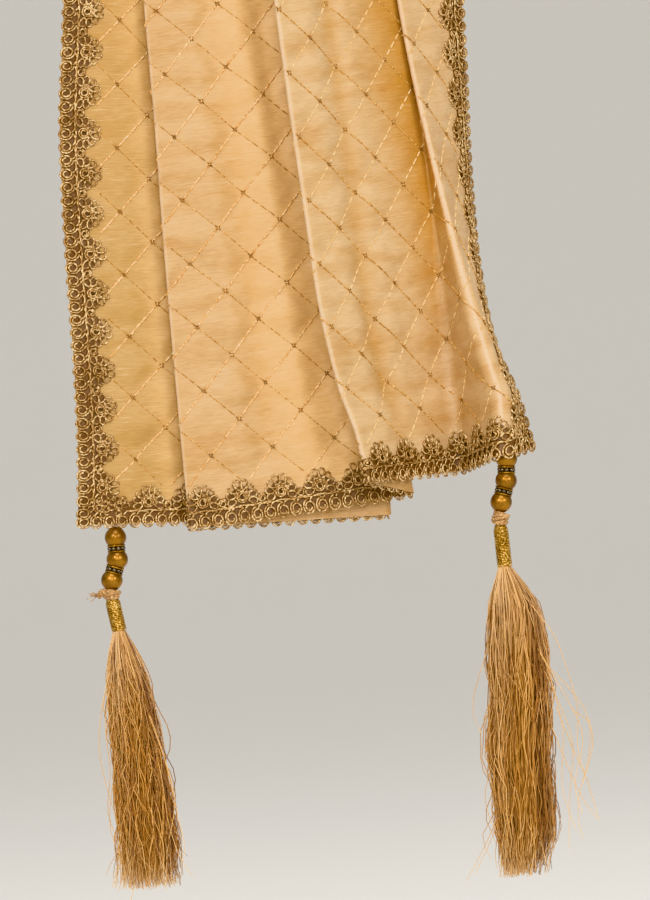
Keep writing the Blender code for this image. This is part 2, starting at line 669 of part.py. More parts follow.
# ================================================================ the whole stole
def main():
    """Builds the stole."""
    for old in list(bpy.data.objects):
        bpy.data.objects.remove(old, do_unlink=True)

    arch_start, arch_end = TOP_OF_SHOULDER - ARCH_REACH, TOP_OF_SHOULDER + ARCH_REACH
    half_gap = SEAM_GAP / 2
    front = Cloth((HEM_INSET, *FRONT_ROWS, arch_start - half_gap))
    arch = Cloth(np.linspace(arch_start + half_gap, arch_end - half_gap, ARCH_STEPS + 1))
    back = Cloth((arch_end + half_gap, *BACK_ROWS, CLOTH_LENGTH - HEM_INSET))
    add_cloth("cloth_front_fall", front)
    add_cloth("cloth_shoulder", arch)
    add_cloth("cloth_back_fall", back)

    whole = Cloth((*front.v, *arch.v, *back.v))
    hem_stations = scallops(HEM_LACE_START, HEM_LACE_END, FLOWER_STEPS)
    for name, hem, inward in (("front", 0.0, 1), ("back", CLOTH_LENGTH, -1)):
        add_lace(f"lace_{name}_hem", with_lines(hem_stations, whole.columns_at(hem), SAME_COLUMN),
                 lambda along, across: whole.at(
                     whole.beside_folds(along, hem + inward * across, hem), hem + inward * across))
    edge_stations = with_lines(scallops(0.0, CLOTH_LENGTH, FLOWER_STEPS), whole.v, SAME_ROW)
    add_lace("lace_edge_a", edge_stations, lambda along, across: whole.at(across, along))
    add_lace("lace_edge_d", edge_stations,
             lambda along, across: whole.at(CLOTH_WIDTH - across, along), far_side=True)

    for plan in TASSELS:
        add_tassel(plan, whole)


main()
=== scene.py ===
"""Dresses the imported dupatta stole: a long pleated silk cloth worn over one shoulder.

Four kinds of sub-assembly are built on one draped surface: the silk itself, the corded flower
lace along its edges, the lattice of hand stitches, and the beaded tassels at its corners. A
place on the flat cloth is (u, v) in millimetres: u across it from the innermost edge, v along
it from the front hem.
"""

import logging
import math
from dataclasses import dataclass, field
from enum import Enum
from functools import partial
from typing import Iterable, Sequence

import bpy
import numpy as np
from mathutils import Matrix, Vector

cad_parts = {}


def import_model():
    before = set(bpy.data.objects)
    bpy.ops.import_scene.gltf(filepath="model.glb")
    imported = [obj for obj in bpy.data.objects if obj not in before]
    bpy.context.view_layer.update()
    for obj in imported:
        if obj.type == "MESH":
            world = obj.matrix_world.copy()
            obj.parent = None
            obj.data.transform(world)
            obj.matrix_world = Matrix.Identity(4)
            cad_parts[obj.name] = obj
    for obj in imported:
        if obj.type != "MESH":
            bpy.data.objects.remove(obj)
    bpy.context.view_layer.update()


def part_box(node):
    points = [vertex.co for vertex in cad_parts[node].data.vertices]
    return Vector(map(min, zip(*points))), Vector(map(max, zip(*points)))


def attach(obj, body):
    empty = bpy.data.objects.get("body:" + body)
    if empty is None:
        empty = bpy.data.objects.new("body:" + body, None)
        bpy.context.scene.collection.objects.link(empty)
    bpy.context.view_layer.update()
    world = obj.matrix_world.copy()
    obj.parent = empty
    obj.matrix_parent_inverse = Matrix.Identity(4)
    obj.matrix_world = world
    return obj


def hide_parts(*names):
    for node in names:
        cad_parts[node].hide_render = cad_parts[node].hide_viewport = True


LOG = logging.getLogger("stole")
MM = 0.001
UP, AWAY = (0, 0, 1), (0, 1, 0)
Array = np.ndarray

# ---------------------------------------------------------------- the cloth, in millimetres
CLOTH_WIDTH = 534.0
CLOTH_LENGTH = 2030.0
TOP_OF_SHOULDER = 1200.0        # v of the arch's top
ARCH_RADIUS = 100.0
ARCH_REACH = 190.0              # how far the shoulder stretch goes to each side of the top
BUNDLE_MIDDLE = 104.5           # the across-place that hangs at x = 0
SOLID_WALL = 1.0                # of the CAD solids
HEM_INSET = 1.0                 # between the cloth's end and the silk's last row
ARCH_START, ARCH_END = TOP_OF_SHOULDER - ARCH_REACH, TOP_OF_SHOULDER + ARCH_REACH
NEAR_END = 345.0                # as far up the front as every stitch is a shape of its own
LACE_PITCH = 19.0
LACE_EDGE_RUN = (9.486, 2020.514)       # where the first whole flower starts and the last ends
LACE_HEM_RUN = (24.0, 515.2)
LATTICE_REPEAT = 30.0           # between stitched lines, measured along an edge
RISING_START, FALLING_START = 25.0, 29.0        # u - v and u + v of one line of each set

# Where each fold's pin stands across the bundle, how far it is from the wearer, and how
# sharply the cloth turns round it.
# columns: v, edge_a, a_ab, ab_b, b_bc, bc_c, c_cd, cd_d, edge_d
ACROSS = np.array((
    (0, 0.0, 144.0, 53.4, 156.0, 137.4, 180.4, 201.5, 216.1),
    (25, 1.8, 145.0, 52.4, 152.0, 133.8, 180.1, 201.5, 211.0),
    (45, 2.8, 145.0, 51.9, 149.0, 128.2, 179.4, 197.5, 203.4),
    (85, 3.4, 145.0, 51.0, 144.0, 121.3, 178.0, 189.0, 199.2),
    (125, 3.2, 145.5, 50.3, 142.0, 117.9, 177.0, 182.0, 198.5),
    (190, 4.3, 147.0, 49.9, 139.0, 113.0, 172.5, 172.0, 200.7),
    (250, 10.2, 150.0, 48.9, 136.0, 109.3, 167.5, 165.5, 202.3),
    (400, 20.0, 155.0, 52.0, 137.0, 105.0, 165.0, 152.0, 198.0),
    (600, 29.0, 158.0, 58.0, 140.0, 100.0, 164.0, 140.0, 192.0),
    (800, 38.0, 162.0, 66.0, 147.0, 94.5, 158.5, 125.0, 176.0),
    (1010, 44.0, 165.0, 73.0, 153.0, 92.0, 155.0, 113.0, 162.0),
    (1390, 44.0, 165.0, 73.0, 153.0, 92.0, 155.0, 113.0, 162.0),
    (1650, 36.0, 162.0, 66.0, 146.0, 92.0, 152.0, 120.0, 174.0),
    (2030, 20.0, 148.0, 56.0, 138.0, 92.0, 149.0, 126.0, 193.0),
))
FORWARD = np.array((
    (0, 14.0, -17.0, 9.5, -8.0, 20.0, -18.0, 10.0, -3.0),
    (25, 14.0, -19.0, 9.2, -8.0, 21.0, -21.0, 3.0, -14.0),
    (45, 14.0, -19.5, 9.0, -8.0, 21.0, -27.0, -10.0, -28.0),
    (85, 13.0, -21.0, 8.5, -9.5, 21.0, -27.0, -20.0, -56.0),
    (125, 13.0, -23.0, 8.0, -10.5, 21.0, -27.5, -23.0, -66.0),
    (190, 12.0, -25.0, 7.5, -11.0, 21.0, -26.5, -22.5, -60.0),
    (250, 12.0, -26.0, 7.5, -10.0, 21.0, -24.5, -20.5, -52.0),
    (400, 10.0, -21.0, 7.4, -6.0, 20.0, -12.0, -1.0, -26.0),
    (600, 6.0, -12.0, 7.0, -1.0, 17.0, 2.0, 12.0, -2.0),
    (800, 2.0, -6.0, 6.0, 2.0, 14.2, 8.0, 16.0, 12.0),
    (1010, 0.0, 2.0, 5.05, 8.1, 11.2, 14.2, 17.3, 18.3),
    (1390, 0.0, 2.0, 5.05, 8.1, 11.2, 14.2, 17.3, 18.3),
    (1650, 2.0, 0.0, 6.0, 7.0, 14.0, 14.0, 20.0, 16.0),
    (2030, 6.0, -4.0, 10.0, 5.0, 18.5, 16.0, 26.0, 12.0),
))
TURNING = np.array((
    (0, 0.0, 2.7, -1.05, 2.7, -1.2, 6.0, -5.0, 0.0),
    (45, 0.0, 2.7, -1.05, 2.7, -1.2, 5.0, -4.5, 0.0),
    (85, 0.0, 2.7, -1.05, 2.7, -1.2, 4.0, -3.0, 0.0),
    (125, 0.0, 2.7, -1.05, 2.7, -1.2, 1.5, -1.5, 0.0),
    (190, 0.0, 2.7, -1.05, 2.7, -1.2, 1.2, -1.1, 0.0),
    (400, 0.0, 2.5, -1.05, 2.5, -1.1, 1.2, -1.05, 0.0),
    (1010, 0.0, 2.0, -1.05, 2.0, -1.05, 2.0, -1.05, 0.0),
    (1390, 0.0, 2.0, -1.05, 2.0, -1.05, 2.0, -1.05, 0.0),
    (2030, 0.0, 2.7, -1.05, 2.7, -1.05, 2.7, -1.05, 0.0),
))
# Which place u of the flat cloth lies on each crease that shows: ab_b, bc_c, cd_d.
CREASES = np.array((
    (0, 252.5, 400.0, 509.0),
    (25, 253.0, 399.0, 509.0),
    (45, 253.5, 398.0, 508.0),
    (85, 254.2, 398.0, 494.0),
    (125, 255.0, 399.0, 487.0),
    (190, 258.5, 400.0, 487.5),
    (250, 261.5, 401.0, 487.5),
    (600, 243.0, 378.0, 476.0),
    (1010, 219.0, 368.0, 484.0),
    (1390, 219.0, 368.0, 484.0),
    (1650, 230.0, 375.0, 480.0),
    (2030, 232.0, 372.0, 466.0),
))
# How much higher each fold hangs than the innermost face.
RAISE = np.array((
    (0, 5.8, 0.0, 1.1, 9.2, 17.4, 18.2, 24.4, 27.0),
    (60, 3.5, 0.0, 2.5, 10.2, 14.2, 21.0, 26.5, 31.0),
    (140, 0.8, 0.0, 3.0, 10.5, 13.4, 22.8, 27.5, 33.0),
    (1200, 0.8, 0.0, 3.0, 9.5, 13.4, 20.0, 25.5, 28.0),
    (2030, 3.0, 0.0, 4.0, 9.0, 16.0, 20.0, 26.0, 28.0),
))
SETTLING_ROUNDS = 14            # how often the hidden pins are moved
SETTLING_SHARE = 0.8            # and by how much of what their cloth lacks


# ================================================================ numbers and arrays
def eased(start: Array, end: Array, leaving: Array, arriving: Array, width: Array,
          t: Array) -> Array:
    """A cubic curve's values at shares t, from its values and slopes at both ends."""
    return ((2 * t**3 - 3 * t**2 + 1) * start + (t**3 - 2 * t**2 + t) * width * leaving
            + (3 * t**2 - 2 * t**3) * end + (t**3 - t**2) * width * arriving)


def between_rows(table: Array, v: float) -> Array:
    """A table's row at v, on smooth curves through its rows that never overshoot them.

    Args:
        table: rows of (v, value, value, ...), in order of v.
        v: the length along the cloth.

    Returns:
        The values at v.
    """
    stations = table[:, 0]
    v = min(max(v, stations[0]), stations[-1])
    i = min(int(np.searchsorted(stations, v, side="right")) - 1, len(stations) - 2)
    rises = np.diff(table[:, 1:], axis=0) / np.diff(stations)[:, None]

    def slope(row: int) -> Array:
        """The curve's slope at a row.

        Args:
            row: which row.

        Returns:
            One slope for each value of the table.
        """
        before, after = rises[max(row - 1, 0)], rises[min(row, len(rises) - 1)]
        gentle = np.minimum(np.abs((before + after) / 2), 3 * np.minimum(abs(before), abs(after)))
        return np.where(before * after <= 0, 0.0, np.sign(after) * gentle)

    width = stations[i + 1] - stations[i]
    return eased(table[i, 1:], table[i + 1, 1:], slope(i), slope(i + 1), width,
                 (v - stations[i]) / width)


def unit(vectors: Array) -> Array:
    """The vectors at length one."""
    return vectors / np.maximum(np.linalg.norm(vectors, axis=-1, keepdims=True), 1e-12)


def smooth_step(low: float, high: float, x: Array) -> Array:
    """Nought below low, one above high, and a soft change between."""
    t = np.clip((np.asarray(x, float) - low) / (high - low), 0.0, 1.0)
    return t * t * (3 - 2 * t)


def smooth_path(knots: Array, t: Array) -> Array:
    """Points at shares t of a smooth curve through knots.

    Args:
        knots: the points it goes through.
        t: shares of the whole length, from nought to one.

    Returns:
        The curve's points.
    """
    steps = np.concatenate(([0.0], np.cumsum(np.linalg.norm(np.diff(knots, axis=0), axis=1))))
    places = steps / steps[-1]
    slopes = np.gradient(knots, places, axis=0)
    i = np.clip(np.searchsorted(places, t, side="right") - 1, 0, len(places) - 2)
    width = (places[i + 1] - places[i])[:, None]
    return eased(knots[i], knots[i + 1], slopes[i], slopes[i + 1], width,
                 (t - places[i])[:, None] / width)


# ================================================================ shapes as plain arrays
@dataclass
class Shape:
    """Points in millimetres with four-sided and three-sided faces."""

    points: Array
    quads: Array = field(default_factory=lambda: np.zeros((0, 4), int))
    tris: Array = field(default_factory=lambda: np.zeros((0, 3), int))

    @staticmethod
    def joined(shapes: Iterable["Shape"]) -> "Shape":
        """One shape of several.

        Args:
            shapes: the shapes to put together, which stay separate shells.

        Returns:
            The joined shape.
        """
        points, quads, tris, reached = [], [], [], 0
        for shape in shapes:
            points.append(shape.points)
            quads.append(shape.quads + reached)
            tris.append(shape.tris + reached)
            reached += len(shape.points)
        return Shape(np.concatenate(points), np.concatenate(quads), np.concatenate(tris))

    def moved(self, points: Array) -> "Shape":
        """The same faces on other points."""
        return Shape(points, self.quads, self.tris)

    def flipped(self) -> "Shape":
        """The shape with every face turned over."""
        return Shape(self.points, self.quads[:, ::-1], self.tris[:, ::-1])

    def mesh(self, name: str) -> bpy.types.Mesh:
        """A Blender mesh of the shape.

        Args:
            name: the mesh's name.

        Returns:
            The mesh, in metres and shaded smooth.
        """
        made = bpy.data.meshes.new(name)
        made.vertices.add(len(self.points))
        made.vertices.foreach_set("co", (self.points * MM).astype(np.float32).ravel())
        loops = np.concatenate((self.quads.ravel(), self.tris.ravel())).astype(np.int32)
        sizes = np.array([4] * len(self.quads) + [3] * len(self.tris), np.int32)
        made.loops.add(len(loops))
        made.loops.foreach_set("vertex_index", loops)
        made.polygons.add(len(sizes))
        starts = np.concatenate(([0], np.cumsum(sizes)[:-1])).astype(np.int32)
        made.polygons.foreach_set("loop_start", starts)
        made.update(calc_edges=True)
        made.validate()
        made.shade_smooth()
        return made

    @staticmethod
    def of(mesh: bpy.types.Mesh) -> "Shape":
        """The shape of a Blender mesh of four-sided and three-sided faces.

        Args:
            mesh: the mesh, in metres.

        Returns:
            Its shape, in millimetres.
        """
        points = np.zeros(len(mesh.vertices) * 3, np.float32)
        loops = np.zeros(len(mesh.loops), np.int32)
        starts, totals = np.zeros((2, len(mesh.polygons)), np.int32)
        for items, title, values in (
                (mesh.vertices, "co", points), (mesh.loops, "vertex_index", loops),
                (mesh.polygons, "loop_start", starts), (mesh.polygons, "loop_total", totals)):
            items.foreach_get(title, values)
        quads = loops[starts[totals == 4][:, None] + np.arange(4)]
        tris = loops[starts[totals == 3][:, None] + np.arange(3)]
        return Shape(points.reshape(-1, 3).astype(float) / MM, quads, tris)


def ringed(rings: Array, ends: Array | None) -> Shape:
    """A skin over a row of rings.

    Args:
        rings: their points (rings, sides, 3).
        ends: the middles of the first and the last, or None where the row joins up.

    Returns:
        The closed shape.
    """
    count, sides = rings.shape[:2]
    rows, k = np.arange(count if ends is None else count - 1)[:, None], np.arange(sides)
    here, after, turn = rows * sides, (rows + 1) % count * sides, (k + 1) % sides
    quads = np.stack((here + k, after + k, after + turn, here + turn), -1).reshape(-1, 4)
    points = rings.reshape(-1, 3)
    if ends is None:
        return Shape(points, quads)
    first, base = len(points), (count - 1) * sides
    tris = [np.stack((np.full(sides, middle), a, b), -1) for middle, a, b in (
        (first, k, turn), (first + 1, base + turn, base + k))]
    return Shape(np.concatenate((points, ends)), quads, np.concatenate(tris))


def round_angles(sides: int) -> Array:
    """Even angles round a circle."""
    return 2 * math.pi * np.arange(sides) / sides


def polar(radius: float | Array, angle: float | Array, height: float | Array) -> Array:
    """Points at radii, angles and heights about Z."""
    return np.stack(np.broadcast_arrays(radius * np.cos(angle), radius * np.sin(angle), height), -1)


def tube(path: Array, radius: float | Array, sides: int, up: Array, closed: bool = False,
         flatness: float = 1.0) -> Shape:
    """A round or flattened tube along a path.

    Args:
        path: points (n, 3).
        radius: one radius, or one for each point.
        sides: how many sides its section has.
        up: a direction, or one for each point, that the section's second axis keeps to.
        closed: whether the path's end joins its start.
        flatness: the share of the radius that the section keeps along up.

    Returns:
        The tube, with both ends filled where it is open.
    """
    path = np.asarray(path, float)
    along = unit(np.roll(path, -1, 0) - np.roll(path, 1, 0) if closed
                 else np.gradient(path, axis=0))
    side = unit(np.cross(along, np.broadcast_to(up, along.shape)))
    rise = np.cross(side, along)
    angles = round_angles(sides)
    radii = np.broadcast_to(np.asarray(radius, float), (len(path),))[:, None, None]
    ring = (side[:, None] * np.cos(angles)[None, :, None]
            + rise[:, None] * np.sin(angles)[None, :, None] * flatness)
    return ringed(path[:, None] + ring * radii, None if closed else path[[0, -1]])


def turned(profile: Sequence[tuple[float, float]], sides: int) -> Shape:
    """A closed shape turned round Z.

    Args:
        profile: (radius, height) from one pole to the other, both at radius nought.
        sides: how many sides it has.

    Returns:
        The shape.
    """
    body = np.array(profile[1:-1], float)
    return ringed(polar(body[:, :1], round_angles(sides), body[:, 1:]),
                  np.array([(0.0, 0.0, profile[end][1]) for end in (0, -1)]))


def placed(shape: Shape, middle: Sequence[float], axis: Sequence[float]) -> Shape:
    """The shape with its Z along an axis and its origin at a point."""
    turn = np.array(Vector(axis).to_track_quat("Z", "Y").to_matrix())
    return shape.moved(shape.points @ turn.T + np.asarray(middle, float))


# ================================================================ finishes
def linear(hex_colour: str) -> tuple[float, float, float, float]:
    """An sRGB hex colour as linear red, green, blue and a full alpha."""
    values = [int(hex_colour[k:k + 2], 16) / 255 for k in (1, 3, 5)]
    return (*(c / 12.92 if c <= 0.04045 else ((c + 0.055) / 1.055) ** 2.4 for c in values), 1.0)


def add_node(tree: bpy.types.NodeTree, kind: str, inputs: dict | None = None,
             **settings: object) -> bpy.types.Node:
    """Adds a node to a tree.

    Args:
        tree: the tree.
        kind: the node's Blender type.
        inputs: for each input, by name or number, a value, an output to link, or a node whose
            first output in use is linked.
        **settings: properties to set on it, or "stops" for a colour ramp's (place, hex) pairs.

    Returns:
        The node.
    """
    made = tree.nodes.new(kind)
    stops = settings.pop("stops", ())
    for _ in stops[2:]:
        made.color_ramp.elements.new(1.0)
    for number, (place, colour) in enumerate(stops):
        made.color_ramp.elements[number].position = place
        made.color_ramp.elements[number].color = linear(colour)
    for name, value in settings.items():
        setattr(made, name, value)
    for name, value in (inputs or {}).items():
        if isinstance(value, bpy.types.Node):
            value = next(output for output in value.outputs if output.enabled)
        if isinstance(value, bpy.types.NodeSocket):
            tree.links.new(value, made.inputs[name])
        else:
            made.inputs[name].default_value = value
    return made


def new_material(name: str) -> tuple[bpy.types.Material, partial, bpy.types.Node]:
    """A material, add_node bound to its tree, and its one main shader.

    Args:
        name: the material's name.

    Returns:
        The three.
    """
    made = bpy.data.materials.new(name)
    made.use_nodes = True
    return made, partial(add_node, made.node_tree), made.node_tree.nodes["Principled BSDF"]


def finish_with(made: bpy.types.Material, surface: bpy.types.Node | None = None,
                **given: object) -> None:
    """Sets or links the main shader's inputs, and what the material ends in.

    Args:
        made: the material.
        surface: the last shader, if it isn't the main one.
        **given: values or nodes for the main shader's inputs, with "_" for a space in a name.
    """
    tree = made.node_tree
    shader = tree.nodes["Principled BSDF"]
    for name, value in given.items():
        socket = shader.inputs[name.replace("_", " ")]
        if isinstance(value, bpy.types.Node):
            tree.links.new(next(output for output in value.outputs if output.enabled), socket)
        else:
            socket.default_value = value
    if surface:
        tree.links.new(surface.outputs[0], tree.nodes["Material Output"].inputs["Surface"])


@dataclass(frozen=True)
class DupionSilk:
    """Handloom dupion silk, plain woven from a smooth warp and a slubbed weft.

    The eye gets a soft satin glow that slides over the folds, from the shader's sheen and from
    broad bands of painted satin shading in the colour, fine cross-wise slubs a few centimetres
    long, painted orange shade in the hollows and where light has passed through several layers,
    painted highlights on the fold edges and a painted yellow backlight on the single layer.
    """

    name: str = "dupion_silk"
    # pale and middle: the ground colours, between which the silk's uneven tone and its painted
    # satin shading drift
    pale: str = "#dabd92"
    middle: str = "#cba470"
    # Painted orange shade for hollows, crease troughs, turned-under faces and the silk beside
    # covering folds, where light also passes through the layers.
    painted_shade_orange: str = "#c08a34"
    # Painted yellow backlight, as of light coming through A's single layer.
    painted_backlight_yellow: str = "#b89650"
    lit: str = "#ffd89a"
    # Painted highlight along the folds' very edges.
    painted_fold_highlight: str = "#fbe4c6"
    # The lace's brown ground, painted darker as shade between the cords.
    lace_ground_and_shade: str = "#6c4820"
    warm_thread: str = "#a8743a"
    light_thread: str = "#ecd0a0"
    slub_shade: str = "#dcb98a"
    slub_sheen: str = "#fffaee"
    slub_light: str = "#f6dfb6"
    weave_shade: str = "#cdb28c"
    through: str = "#dc9238"        # light that has come through the cloth
    bloom: str = "#ffe6b8"
    roughness: float = 0.38
    grain: float = 0.26             # how strongly slubs and weave darken the colour
    passing: float = 0.2            # share of the light that passes through
    band: tuple[float, float] = (48.0, 10.0)        # mm along and across the weft, of the broad bands of uneven tone and painted satin shading
    slub: tuple[float, float] = (15.0, 0.8)
    thread: tuple[float, float] = (5.0, 0.5)        # coarser than the 0.15 mm of the real weft
    drawn_line: tuple[float, float] = (0.42, 0.48)  # mm, half widths of warm and light lines
    scallop: float = 2.4            # mm, how far the lace's inner edge swings
    lace_reach: float = 14.4        # mm, how wide the lace is on average
    bare_rim: float = 1.1           # mm outside the lace

    def build(self) -> bpy.types.Material:
        """Makes the material. It reads the cloth's own flat coordinates.

        Returns:
            The material.
        """
        made, node, shader = new_material(self.name)
        flat = node("ShaderNodeAttribute", attribute_name="flat").outputs["Vector"]
        painted_shade, lit, painted_backlight, painted_fold_highlight, bare, right_side = (
            node("ShaderNodeAttribute", attribute_name=title).outputs["Fac"]
            for title in ("painted_shade", "lit", "painted_backlight", "painted_fold_highlight", "bare", "right_side"))
        across, along, _ = node("ShaderNodeSeparateXYZ", {0: flat}).outputs

        def streaks(size: tuple[float, float], detail: float) -> bpy.types.Node:
            """Noise drawn out along the weft.

            Args:
                size: mm along and across the weft.
                detail: how fine the noise gets.

            Returns:
                The noise.
            """
            scaled = node("ShaderNodeMapping", {
                "Vector": flat, "Scale": (1 / (size[0] * MM), 1 / (size[1] * MM), 1.0)})
            return node("ShaderNodeTexNoise", {"Vector": scaled, "Scale": 1.0, "Detail": detail,
                                               "Roughness": 0.6, "Distortion": 0.25})

        slubs, threads = streaks(self.slub, 2.0), streaks(self.thread, 1.0)
        # The ground drifts between middle and pale in broad cross-wise bands: uneven tone and
        # painted satin shading.
        ground, streak, weave = (
            node("ShaderNodeValToRGB", {"Fac": noise}, stops=stops) for noise, stops in (
                (streaks(self.band, 2.0), ((0.28, self.middle), (0.6, self.pale))),
                (slubs, ((0.3, self.slub_shade), (0.44, "#ffffff"), (0.64, "#ffffff"),
                         (0.74, self.slub_sheen))),
                (threads, ((0.34, self.weave_shade), (0.62, "#ffffff")))))
        bright = node("ShaderNodeMapRange", {"Value": slubs, 1: 0.62, 2: 0.76, 4: 0.4})
        covered = node("ShaderNodeMath", {0: self.edging(node, across, along), 1: right_side},
                       operation="MULTIPLY")
        lines = self.lattice(node, across, along)
        warm, light, laced = (
            node("ShaderNodeMath", {0: mask, 1: share}, operation="MULTIPLY")
            for mask, share in ((lines["warm"], bare), (lines["light"], bare), (covered, 0.92)))
        # Mixed in order: painted backlight, painted orange shade, painted light, painted fold
        # highlight, slub and weave grain, slub colour, drawn lines, and the lace's ground with its
        # painted shade.
        for factor, colour, blend in (
                (painted_backlight, self.painted_backlight_yellow, "MIX"), (painted_shade, self.painted_shade_orange, "MIX"),
                (lit, self.lit, "MIX"), (painted_fold_highlight, self.painted_fold_highlight, "MIX"),
                (self.grain, streak, "MULTIPLY"), (self.grain, weave, "MULTIPLY"),
                (bright, self.slub_light, "MIX"), (warm, self.warm_thread, "MIX"),
                (light, self.light_thread, "MIX"), (laced, self.lace_ground_and_shade, "MIX")):
            colour = linear(colour) if isinstance(colour, str) else colour
            ground = node("ShaderNodeMix", {0: factor, 6: ground, 7: colour},
                          data_type="RGBA", blend_type=blend)
        height = node("ShaderNodeMath", {0: slubs, 1: 0.7, 2: threads},
                      operation="MULTIPLY_ADD")
        relief = node("ShaderNodeBump", {"Height": height, "Strength": 0.36, "Distance": 0.0004})
        quilt = node("ShaderNodeBump", {"Height": lines["pucker"], "Strength": 0.7,
                                        "Distance": 0.0011, "Normal": relief})
        glow = node("ShaderNodeMix", {0: 0.5, 6: ground, 7: linear(self.through)},
                    data_type="RGBA")
        through = node("ShaderNodeBsdfTranslucent", {"Color": glow, "Normal": quilt})
        both = node("ShaderNodeMixShader", {0: self.passing, 1: shader.outputs[0], 2: through})
        finish_with(made, both, Base_Color=ground, Normal=quilt, Roughness=self.roughness,
                    IOR=1.45, Sheen_Weight=0.2, Sheen_Roughness=0.4,
                    Sheen_Tint=linear(self.bloom))
        return made

    def lattice(self, node: partial, across: bpy.types.NodeSocket,
                along: bpy.types.NodeSocket) -> dict[str, bpy.types.Node]:
        """The stitched lattice as drawn lines and as the height of the cloth between them.

        Args:
            node: add_node bound to the material's tree.
            across: the flat cloth's u, in metres.
            along: its v.

        Returns:
            "warm" and "light" line masks and the "pucker" height.
        """
        def from_line(slope: float, first: float) -> bpy.types.Node:
            """Distance in metres from the nearest line of one set.

            Args:
                slope: how much v counts against u.
                first: where one line starts, in millimetres.

            Returns:
                The distance.
            """
            total = node("ShaderNodeMath", {0: along, 1: slope, 2: across},
                         operation="MULTIPLY_ADD")
            for operation, amount in (("SUBTRACT", first * MM),
                                      ("PINGPONG", LATTICE_REPEAT / 2 * MM),
                                      ("MULTIPLY", math.sqrt(0.5))):
                total = node("ShaderNodeMath", {0: total, 1: amount}, operation=operation)
            return total

        falling, rising = from_line(1.0, FALLING_START), from_line(-1.0, RISING_START)
        swells = [node("ShaderNodeMapRange", {"Value": line, 1: 0.0, 2: 7.0 * MM},
                       interpolation_type="SMOOTHSTEP") for line in (falling, rising)]
        warm, light = (node("ShaderNodeMath", {0: line, 1: half * MM}, operation="LESS_THAN")
                       for line, half in zip((falling, rising), self.drawn_line))
        pucker = node("ShaderNodeMath", {0: swells[0], 1: swells[1]}, operation="MULTIPLY")
        return {"warm": warm, "light": light, "pucker": pucker}

    def edging(self, node: partial, across: bpy.types.NodeSocket,
               along: bpy.types.NodeSocket) -> bpy.types.Node:
        """One on the scalloped band that the lace covers, and nought elsewhere.

        Args:
            node: add_node bound to the material's tree.
            across: the flat cloth's u, in metres.
            along: its v.

        Returns:
            The mask.
        """
        def band(inward: bpy.types.NodeSocket, size: float, place: bpy.types.NodeSocket,
                 start: float, end: float) -> bpy.types.Node:
            """The band of one pair of edges, as wide as the lace's flowers are there.

            Args:
                inward: metres in from the first edge of the pair.
                size: mm between the two edges.
                place: metres along the edge.
                start: mm, where the flowers start.
                end: mm, where they end.

            Returns:
                The band's mask.
            """
            pitch = (end - start) / round((end - start) / LACE_PITCH)
            wave = place
            for operation, amount in (("SUBTRACT", (start + pitch / 2) * MM),
                                      ("MULTIPLY", 2 * math.pi / (pitch * MM)),
                                      ("COSINE", 0.0)):
                wave = node("ShaderNodeMath", {0: wave, 1: amount}, operation=operation)
            width = node("ShaderNodeMath", {0: wave, 1: self.scallop * MM,
                                            2: self.lace_reach * MM}, operation="MULTIPLY_ADD")
            reach = node("ShaderNodeMath", {0: inward, 1: size * MM / 2}, operation="PINGPONG")
            lack = node("ShaderNodeMath", {0: width, 1: reach}, operation="SUBTRACT")
            inside = node("ShaderNodeMath", {0: reach, 1: self.bare_rim * MM},
                          operation="SUBTRACT")
            least = node("ShaderNodeMath", {0: lack, 1: inside}, operation="MINIMUM")
            return node("ShaderNodeMath", {0: least, 1: 1500.0}, operation="MULTIPLY",
                        use_clamp=True)

        return node("ShaderNodeMath", {
            0: band(across, CLOTH_WIDTH, along, *LACE_EDGE_RUN),
            1: band(along, CLOTH_LENGTH, across, *LACE_HEM_RUN)}, operation="MAXIMUM")


@dataclass(frozen=True)
class Thread:
    """Twisted thread or cord: rayon, silk floss or a metal-wrapped gimp.

    Its colour has painted highlights, short and broken, where the plies turn over, and painted
    shade in the darker gaps between.
    """

    name: str
    dark: str
    middle: str
    light: str
    metallic: float = 0.0
    roughness: float = 0.5
    grain: float = 1.0              # mm, length of one turn of the twist
    sheen: float = 0.0
    relief: float = 0.2             # mm

    def build(self) -> bpy.types.Material:
        """Makes the material.

        Returns:
            The material.
        """
        made, node, _ = new_material(self.name)
        place = node("ShaderNodeTexCoord").outputs["Object"]
        twist, patch = (node("ShaderNodeTexNoise", {
            "Vector": place, "Scale": 1 / (grain * MM), "Detail": 2.0, "Roughness": 0.6})
            for grain in (self.grain, self.grain * 14))
        blend = node("ShaderNodeMix", {0: 0.25, 2: twist, 3: patch}, data_type="FLOAT")
        # The ramp paints highlights where the plies turn over and shade in the gaps between them.
        colour = node("ShaderNodeValToRGB", {"Fac": blend}, stops=(
            (0.36, self.dark), (0.5, self.middle), (0.64, self.light)))
        relief = node("ShaderNodeBump", {"Height": twist, "Strength": 0.6,
                                         "Distance": self.relief * MM})
        finish_with(made, Base_Color=colour, Normal=relief, Metallic=self.metallic,
                    Roughness=self.roughness, Sheen_Weight=self.sheen)
        return made


